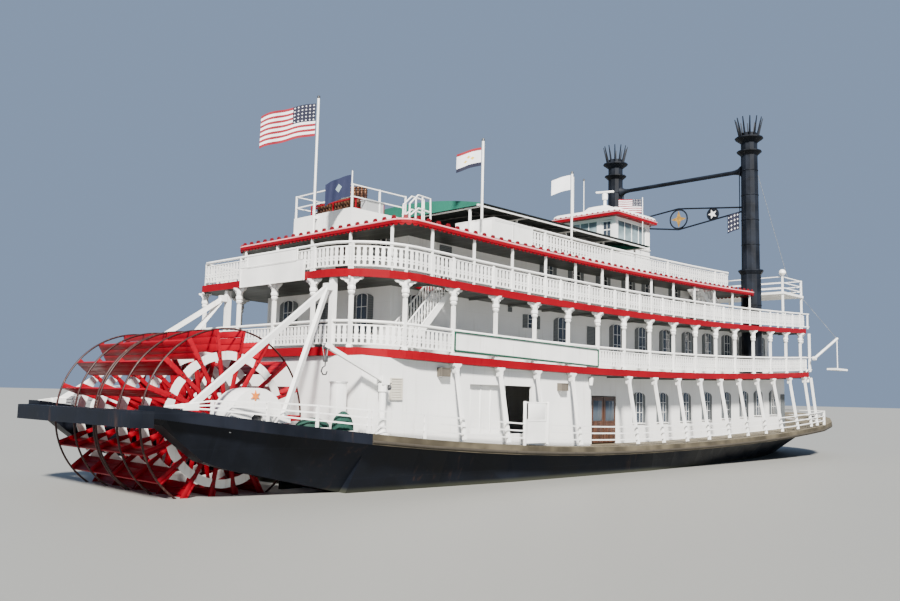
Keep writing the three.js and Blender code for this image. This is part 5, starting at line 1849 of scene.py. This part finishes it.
class STEAMER_OT_crane(Making):
    """Winch, falls and hook of the deck crane"""

    bl_idname = "steamer.crane"
    bl_label = "Crane"

    def make(self):
        x, y, pivot = CRANE["x"], CRANE["y"], CRANE["pivot"]
        foot = top_of("main_deck_aft", x, y)
        rows = [(foot + lift, radius) for lift, radius in CRANE_BASE]
        shown(moved(turned("base", rows, 16), at(x, y, 0)), white_paint)
        drum_x, drum_z = x + 0.017, pivot - 0.024
        drum = moved(turned("drum", WINCH_DRUM, 16), at(drum_x, y, drum_z) @ QUARTER_X)
        low, high = (x + 0.008, y - 0.012, pivot - 0.034), (x + 0.018, y + 0.012, pivot - 0.018)
        plates = block("plates", low, high, 0.002)
        bends = ((0.013, drum_z), (0.018, drum_z), (0.018, pivot - 0.01), (0.024, pivot - 0.01))
        crank = piped("crank", [[(drum_x, y - out, z) for out, z in bends]], 0.002)
        shown(joined("crane_winch", [drum, plates, crank]), steel, "crane_head")
        self.jib(x, y, pivot)

    def jib(self, x, y, pivot):
        """Sheave, falls, block and hook on the jib"""
        tip = Vector((x - CRANE["reach"], y, pivot + CRANE["rise"]))
        sheave = moved(turned("sheave", SHEAVE, 20), at(*(tip + Vector((-0.004, 0, 0)))) @ QUARTER_X)
        low = tip.z - 0.034
        falls = piped("falls", [
            [tip + Vector((-0.013, 0.0025, 0)), Vector((tip.x - 0.005, y + 0.0025, low))],
            [tip + Vector((0.006, -0.0025, 0)), Vector((tip.x + 0.001, y - 0.0025, low))],
        ], 0.0012)
        corners = (tip.x - 0.009, y - 0.005, low - 0.016), (tip.x + 0.006, y + 0.005, low + 0.004)
        hook_block = block("hook_block", *corners, 0.002)
        hook = piped("hook", [[(tip.x + along, y, low - down) for along, down in HOOK]], 0.0024, 2)
        shown(joined("crane_tackle", [sheave, hook_block, hook]), steel, "crane_jib")
        shown(falls, cord_fibre, "crane_jib")


# Fittings of the main deck
FLOODLIGHTS = (-1.606, -0.889)
VENT = {"x": -1.83, "z": 0.47, "slats": 7, "pitch": 0.009}
CORNER_LAMP = ((0.0, 0.007), (0.01, 0.009), (0.03, 0.011), (0.036, 0.004))
TRUNK = {"aft": -2.062, "fore": -2.02, "y": 0.47, "half": 0.02, "high": 0.16}
# Rails at the ends of the stern arms: places along X and heights at the fore end
STERN_SWEEP = {"foot": -2.65, "head": -2.516, "rises": (0.013, 0.0255, 0.038)}
GATE = {"aft": -1.215, "fore": -1.07, "y": 0.5945}
MARK = {"y": 0.4815, "z": 0.474}
BOLLARD = (
    (0.0, 0.011), (0.003, 0.011), (0.005, 0.0075), (0.026, 0.0075), (0.029, 0.0105), (0.033, 0.0105),
    (0.036, 0.006),
)
BOLLARD_PAIRS = ((2.05, 0.4), (2.3, 0.3), (-2.42, 0.44))
WINDLASS_X = 2.15
WINDLASS_DRUM = ((-0.09, 0.02), (-0.085, 0.03), (-0.05, 0.022), (0.05, 0.022), (0.085, 0.03), (0.09, 0.02))
# Covered heaps on the stern arms: place, half width and height; the rows are shares of height and width
COVERS = ((-2.17, 0.51, 0.06, 0.03), (-2.065, 0.53, 0.042, 0.062))
COVER_ROWS = ((0.0, 1.0), (0.3, 0.97), (0.62, 0.8), (0.85, 0.5), (1.0, 0.16))
COVER_DEPTH = 0.62


class STEAMER_OT_deck_fittings(Making):
    """Lights, vents, trunks, covers, gates, bollards, windlass, strake and stern rails of the main deck"""

    bl_idname = "steamer.deck_fittings"
    bl_label = "Deck fittings"

    def make(self):
        self.wall_fittings()
        self.trunks()
        self.covers()
        self.gates()
        self.bollards()
        self.rubbing_strake()
        self.stern_ends()

    def wall_fittings(self):
        """Floodlights, louvred vents and corner lamps on the main house's side walls"""
        wall = HOUSE_WALLS["main_house_aft"]
        lights, lenses, vents = [], [], []
        for side in SIDES.values():
            for x in FLOODLIGHTS:
                place = facing_out(x, side, wall, main_deck_z(x) + 0.245)
                light = panelled("flood", (-0.024, -0.024, -0.016), (0.024, 0, 0.016), 0.003, 0.002)
                lights.append(moved(light, place))
                lens = block("lens", (-0.02, -0.021, -0.0175), (0.02, -0.004, -0.0155), 0.0005)
                lenses.append(moved(lens, place))
            place = facing_out(VENT["x"], side, wall, VENT["z"])
            vent = panelled("vent", (-0.028, -0.007, 0.0), (0.028, 0, 0.075), 0.004, 0.002)
            vents.append(moved(vent, place))
            for k in range(VENT["slats"]):
                low = 0.008 + VENT["pitch"] * k
                high = 0.0115 + VENT["pitch"] * k
                slat = block("slat", (-0.023, -0.0066, low), (0.023, -0.003, high), 0.0006)
                vents.append(moved(slat, place))
            place = facing_out(HOUSE_STEP - 0.015, side, wall + 0.012, main_deck_z(-0.7) + 0.262)
            lenses.append(moved(turned("lamp", CORNER_LAMP, 12), place))
        shown(joined("floodlights", lights), flood_paint)
        shown(joined("lamp_lenses", lenses), lamp_glass)
        shown(joined("wall_vents", vents), beige_paint)

    def trunks(self):
        """Ventilator trunks just aft of the house"""
        boxes = []
        for side in SIDES.values():
            x0, x1, y, half = TRUNK["aft"], TRUNK["fore"], side * TRUNK["y"], TRUNK["half"]
            z = top_of("stern_arm_port", -2.035, TRUNK["y"]) - 0.001
            top = z + TRUNK["high"]
            boxes.append(block("trunk", (x0, y - half, z), (x1, y + half, top), 0.003))
            lid = half + 0.002
            low, high = (x0 - 0.002, y - lid, top - 0.002), (x1 + 0.002, y + lid, top + 0.004)
            boxes.append(block("lid", low, high, 0.0015))
        shown(joined("vent_trunks", boxes), white_paint)

    def covers(self):
        """Low covered heaps of rope and gear on the stern arms"""
        for side_name, side in SIDES.items():
            for n, (x, y, wide, high) in enumerate(COVERS):
                z = top_of("stern_arm_port", x, y)
                rows = [
                    (z + 0.001 + high * up, wide * out, wide * COVER_DEPTH * out)
                    for up, out in COVER_ROWS
                ]
                cover = raised(f"gear_cover_{side_name}_{n}", "round", rows, 24)
                for corner in cover.data.vertices:
                    around = math.atan2(corner.co.y, corner.co.x)
                    fold = 1 + 0.05 * math.sin(7 * around + n) + 0.03 * math.sin(12 * around + 2 * n)
                    corner.co.x, corner.co.y = corner.co.x * fold, corner.co.y * fold
                with Editing(cover) as edit:
                    edit.pick(lambda _, normal: normal.z < -0.9)
                    bpy.ops.mesh.delete(type="FACE")
                moved(cover, at(x, side * y, 0))
                shown(modified(cover, "SOLIDIFY", thickness=0.001, offset=-1), tarpaulin, smooth=60)

    def gates(self):
        """White boarding gates in the guard rail"""
        pieces = []
        x0, x1 = GATE["aft"], GATE["fore"]
        middle = (x0 + x1) / 2
        for side in SIDES.values():
            y = side * GATE["y"]
            z = main_deck_z(x0, 0.59)
            for x in (x0, x1):
                pieces.append(upright("gate_post", x, y, 0.005, 0.005, z, z + 0.17, 0.0015))
            panel = panelled(
                "gate_panel", (x0 + 0.005, -0.003, 0.008), (x1 - 0.005, 0.003, 0.1), 0.008, 0.0015,
            )
            place = standing(0, y, z) if side < 0 else standing(x0 + x1, y, z, math.pi)
            pieces.append(moved(panel, place))
            pieces.append(piped("gate_rail", [[(x0, y, z + 0.165), (x1, y, z + 0.165)]], 0.003))
            pieces.append(upright("gate_top", middle, y, 0.05, 0.003, z + 0.1, z + 0.162, 0.001))
        shown(joined("boarding_gates", pieces), white_paint)

    def bollards(self):
        """Pairs of bollards, and the windlass on the foredeck"""
        places = []
        for x, y in BOLLARD_PAIRS:
            for shift in (0, 0.045):
                for side in SIDES.values():
                    node = "foredeck" if x > 0 else "stern_arm_port"
                    z = top_of(node, x + shift, y)
                    places.append(at(x + shift, side * y, z - 0.001))
        shown(stamped("bollards", turned("bollard", BOLLARD, 14), places), steel)
        z = top_of("foredeck", WINDLASS_X, 0)
        drum = moved(turned("drum", WINDLASS_DRUM, 20), at(WINDLASS_X, 0, z + 0.045) @ QUARTER_X)
        cheeks = [
            block("cheek", (2.12, y - 0.006, z - 0.001), (2.18, y + 0.006, z + 0.06), 0.004)
            for y in (-0.06, 0.06)
        ]
        shown(joined("windlass", [drum, *cheeks]), steel)

    def stern_ends(self):
        """Rails that sweep down to the ends of the stern arms, and a star on each bearing housing"""
        lines, marks = [], []
        for side in SIDES.values():
            foot = (STERN_SWEEP["foot"], side * guard_half(STERN_SWEEP["foot"]) - side * 0.012)
            head = (STERN_SWEEP["head"], side * guard_half(STERN_SWEEP["head"]) - side * 0.012)
            low, high = (top_of("stern_arm_port", x, 0.42) for x, _ in (foot, head))
            for rise in STERN_SWEEP["rises"]:
                lines.append([(*foot, low + 0.002), (*head, high + rise)])
            place = at(WHEEL_AXIS.x - 0.012, side * MARK["y"], MARK["z"]) @ QUARTER_X
            marks.append(moved(flat_star(6, 0.0175, 0.007, 0.005), place))
        shown(piped("stern_rail_ends", lines, 0.0027), white_paint)
        shown(joined("bearing_stars", marks), orange_paint)

    def rubbing_strake(self):
        """Half-round timber along the edge of the guard"""
        lines = []
        xs = [-2.0 + 0.0505 * i for i in range(90)]
        for side in SIDES.values():
            points = []
            for x in xs:
                node = "main_deck_aft" if x < HOUSE_STEP else "main_deck_middle" if x < 1.3 else "foredeck"
                y = guard_half(x)
                points.append((x, side * (y - 0.002), top_of(node, min(x, 2.6), y - 0.012) - 0.026))
            lines.append(points)
        shown(piped("rubbing_strake", lines, 0.0065, 2), strake_paint, smooth=60)


# End walls: house, deck, after or fore end, half width of a door, place of the windows and their style
END_WALLS = (
    ("texas_house", "texas_deck", 1, 0.03, 0.22, "texas"),
    ("texas_house", "texas_deck", 0, 0.03, 0.22, "texas"),
    ("boiler_house", "boiler_deck", 1, 0.032, 0.24, "boiler"),
    ("main_house_fore", "foredeck", 1, 0.036, 0.27, "main"),
)


class STEAMER_OT_doors(Making):
    """Glazed and panelled faces of the moving doors, and doors in the houses' end walls"""

    bl_idname = "steamer.doors"
    bl_label = "Doors"

    def make(self):
        for leaf in ("aft", "fore"):
            for side_name in SIDES:
                self.passenger_leaf(f"passenger_door_{leaf}_{side_name}")
        for side_name, side in SIDES.items():
            self.cargo_leaf(f"cargo_door_{side_name}", side)
        self.end_walls()

    def passenger_leaf(self, body):
        """A pane above a panel on both faces of the leaf"""
        low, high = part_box(body)
        x0, x1, z = low.x, high.x, low.z
        middle = (low.y + high.y) / 2
        reach = (high.y - low.y) / 2
        x, half = (x0 + x1) / 2, (x1 - x0) / 2 - 0.014
        pane = upright(f"{body}_pane", x, middle, half, reach + 0.0006, z + 0.1, high.z - 0.018, 0.0005)
        shown(pane, glass, body)
        panel = upright(f"{body}_panel", x, middle, half, reach + 0.0014, z + 0.015, z + 0.082, 0.0014)
        shown(panel, door_wood, body)

    def cargo_leaf(self, body, side):
        low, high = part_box(body)
        ribs = []
        y = low.y if side < 0 else high.y
        for k in range(4):
            x = low.x + 0.03 + (high.x - low.x - 0.06) * k / 3
            ribs.append(upright("rib", x, y, 0.004, 0.002, low.z + 0.012, high.z - 0.012, 0.001))
        shown(joined(f"{body}_ribs", ribs), white_paint, body)

    def end_walls(self):
        """Double doors and windows in the end walls"""
        doors, frames = [], []
        for house, deck, end, half, out, style_name in END_WALLS:
            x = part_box(house)[end].x
            turn = math.pi / 2 if end else -math.pi / 2
            z = top_of(deck, x + (0.02 if end else -0.02), 0)
            for y in (-half - 0.001, half + 0.001):
                door = panelled("door", (-half, -0.004, 0.003), (half, 0.0, 0.17), 0.006, 0.0015)
                doors.append(moved(door, standing(x, y, z, turn)))
            wide = 2 * half + 0.008
            frame = block("frame", (-wide, -0.0025, 0.003), (wide, 0.0, 0.178), 0.001)
            frames.append(moved(frame, standing(x, 0, z, turn)))
            style = WINDOW_STYLES[style_name]
            places = [standing(x, y, z + style["sill"], turn) for y in (-out, out)]
            fit_windows(style, places, f"{house}_end_{end}")
        shown(joined("end_doors", doors), door_wood)
        shown(joined("end_door_frames", frames), white_paint)


# Stairs, lookout and rigging
AFT_STAIR = {
    "foot": -1.765, "head": -1.52, "y": -0.462, "half": 0.036, "low": "boiler_deck",
    "high": "texas_deck",
}
FORE_STAIR = {
    "foot": 0.64, "head": 0.37, "y": -0.45, "half": 0.033, "low": "texas_deck", "high": "roof_deck",
}
SPINDLE_ROWS = ((0.01, 0.002), (0.035, 0.002), (0.045, 0.0045), (0.055, 0.002), (0.084, 0.002))
# Bars of one hoop over the ladder, along X and up
LADDER_HOOP = (
    ((-1.79, 1.165), (-1.75, 1.203), (-1.688, 1.2), (-1.684, 1.107)),
    ((-1.786, 1.125), (-1.748, 1.155), (-1.688, 1.15)),
    ((-1.728, 1.202), (-1.728, 1.107)),
    ((-1.79, 1.165), (-1.79, 1.107)),
)


class STEAMER_OT_stairs(Making):
    """Balustrades of the stairs, and hoops over the ladder at the roof's quarter"""

    bl_idname = "steamer.stairs"
    bl_label = "Stairs"

    def make(self):
        for name, stair in (("aft", AFT_STAIR), ("fore", FORE_STAIR)):
            self.banisters(name, stair)
        lines = [[(x, y, z) for x, z in bar] for y in (-0.488, -0.522) for bar in LADDER_HOOP]
        shown(piped("ladder_hoops", lines, 0.0032), white_paint)

    def banisters(self, name, stair):
        foot, head = stair["foot"], stair["head"]
        z0 = top_of(stair["low"], foot, stair["y"]) + 0.012
        z1 = top_of(stair["high"], head, -0.3) - 0.002
        lines, spindles = [], []
        for side in (-1, 1):
            y = stair["y"] + side * stair["half"]
            for lift in (0.012, 0.085):
                lines.append([(foot, y, z0 + lift), (head, y, z1 + lift)])
            for k in range(1, 17):
                share = k / 17
                x, z = foot + (head - foot) * share, z0 + (z1 - z0) * share
                spindles.append(at(x, y, z))
        shown(piped(f"stair_rails_{name}", lines, 0.003), white_paint)
        spindle = sawn("spindle", 0.0022, SPINDLE_ROWS)
        shown(stamped(f"stair_spindles_{name}", spindle, spindles), white_paint, smooth=20)


# Stays from the chimneys to the lookout, the bow boom's lift, and what stands on the lookout
STAY = {"out": 0.05, "head_z": 1.962, "foot": (1.6, 0.48, 1.182), "radius": 0.0011}
BOOM_LIFT = ((2.074, -0.575, 0.926), (1.724, -0.49, 1.17))
GLOBE_PLACE = (1.43, 0.49, 1.281)
HORN_PLACE = (1.7, -0.42, 1.2)
GLOBE_ROWS = ((0, 0.008), (0.005, 0.014), (0.016, 0.021), (0.028, 0.02), (0.038, 0.012), (0.041, 0.004))
LOOKOUT_HORN = ((0.0, 0.006), (0.02, 0.007), (0.03, 0.012), (0.04, 0.02), (0.041, 0.0185))


class STEAMER_OT_rigging(Making):
    """Stays of the chimneys and the boom, and the lamps and horn of the lookout"""

    bl_idname = "steamer.rigging"
    bl_label = "Rigging"

    def make(self):
        lines = []
        for side in SIDES.values():
            foot_x, foot_y, foot_z = STAY["foot"]
            head = (CHIMNEY_X + STAY["out"], side * CHIMNEY_Y, STAY["head_z"])
            lines.append([head, (foot_x, side * foot_y, foot_z)])
        shown(piped("chimney_stays", lines, STAY["radius"]), cord_fibre)
        shown(piped("boom_topping_lift", [BOOM_LIFT], STAY["radius"]), cord_fibre, "bow_boom")
        x, y, z = GLOBE_PLACE
        places = [at(x, side * y, z) for side in SIDES.values()]
        shown(stamped("lookout_globes", turned("globe", GLOBE_ROWS, 20), places), lamp_glass)
        x, y, z = HORN_PLACE
        horn = moved(turned("lookout_horn", LOOKOUT_HORN, 18), at(x, y, z) @ QUARTER_Y)
        stand = block("stand", (x, y - 0.006, z - 0.019), (x + 0.012, y + 0.006, z - 0.002), 0.002)
        shown(joined("lookout_horn", [horn, stand]), steel)


class STEAMER_OT_stage(Making):
    """Floor at the waterline, soft light and the camera of the photograph"""

    bl_idname = "steamer.stage"
    bl_label = "Stage"

    EYE = (-3.8753, -2.7545, 0.4859)
    YAW, PITCH, ROLL = 0.77, 0.1095, 0.0233
    SUN_FROM = (-0.75, -0.78, 0.9)

    def make(self):
        self.floor()
        self.lights()
        self.camera()

    def floor(self):
        only()
        bpy.ops.mesh.primitive_grid_add(
            x_subdivisions=4, y_subdivisions=4, size=400, location=(0, 0, WATERLINE),
        )
        floor = settled(bpy.context.object, "floor")
        finish = Finish("floor")
        clouds = finish.noise(0.6, 2.0)
        colour = tuple(stage_settings().floor_colour)
        finish.set(colour=finish.mix(clouds, tint(colour, 0.97), tint(colour, 1.03)), roughness=0.55)
        floor.data.materials.append(finish.material)

    def lights(self):
        settings = stage_settings()
        world = bpy.data.worlds.new("studio")
        world.use_nodes = True
        backdrop = world.node_tree.nodes["Background"]
        backdrop.inputs[0].default_value = (*settings.sky_colour, 1)
        backdrop.inputs[1].default_value = settings.sky
        bpy.context.scene.world = world
        only()
        bpy.ops.object.light_add(type="SUN", location=(0, 0, 6))
        sun = bpy.context.object
        sun.name = "key_light"
        sun.data.energy = settings.sun
        sun.data.angle = settings.sun_width
        sun.data.color = (1.0, 0.96, 0.9)
        sun.rotation_euler = Vector(self.SUN_FROM).to_track_quat("Z", "Y").to_euler()

    def camera(self):
        yaw, pitch, roll = self.YAW, self.PITCH, self.ROLL
        ahead = Vector((math.cos(yaw) * math.cos(pitch), math.sin(yaw) * math.cos(pitch), math.sin(pitch)))
        right = Vector((math.sin(yaw), -math.cos(yaw), 0))
        up = right.cross(ahead)
        level = Matrix((right, up, -ahead)).transposed().to_4x4()
        only()
        bpy.ops.object.camera_add()
        camera = bpy.context.object
        camera.name = "photo_camera"
        camera.data.lens = stage_settings().lens
        camera.data.clip_end = 500
        camera.matrix_world = Matrix.Translation(self.EYE) @ level @ Matrix.Rotation(roll, 4, "Z")
        bpy.context.scene.camera = camera


OPERATORS = (
    STEAMER_OT_finishes,
    STEAMER_OT_balustrades,
    STEAMER_OT_brackets,
    STEAMER_OT_roof_edge,
    STEAMER_OT_windows,
    STEAMER_OT_boards,
    STEAMER_OT_wheel,
    STEAMER_OT_chimneys,
    STEAMER_OT_flags,
    STEAMER_OT_awning,
    STEAMER_OT_calliope,
    STEAMER_OT_pilothouse,
    STEAMER_OT_crane,
    STEAMER_OT_deck_fittings,
    STEAMER_OT_doors,
    STEAMER_OT_stairs,
    STEAMER_OT_rigging,
    STEAMER_OT_stage,
)


class STEAMER_PT_dressing(bpy.types.Panel):
    """Lists the steps of the dressing and their settings"""

    bl_idname = "STEAMER_PT_dressing"
    bl_label = "Steamer"
    bl_space_type = "VIEW_3D"
    bl_region_type = "UI"
    bl_category = "Steamer"

    def draw(self, context):
        for group in (context.scene.steamer_paint, context.scene.steamer_trim, context.scene.steamer_stage):
            column = self.layout.column()
            for name in group.bl_rna.properties.keys():
                if name not in ("rna_type", "name"):
                    column.prop(group, name)
        for operator in OPERATORS:
            self.layout.operator(operator.bl_idname)


GROUPS = {"steamer_paint": SteamerPaint, "steamer_trim": SteamerTrim, "steamer_stage": SteamerStage}


def register():
    for cls in (*GROUPS.values(), *OPERATORS, STEAMER_PT_dressing):
        bpy.utils.register_class(cls)
    for name, group in GROUPS.items():
        setattr(bpy.types.Scene, name, bpy.props.PointerProperty(type=group))


def unregister():
    for name in GROUPS:
        delattr(bpy.types.Scene, name)
    for cls in (STEAMER_PT_dressing, *reversed(OPERATORS), *reversed(GROUPS.values())):
        bpy.utils.unregister_class(cls)


def main():
    register()
    for operator in OPERATORS:
        group, name = operator.bl_idname.split(".")
        getattr(getattr(bpy.ops, group), name)()


if __name__ == "__main__":
    main()
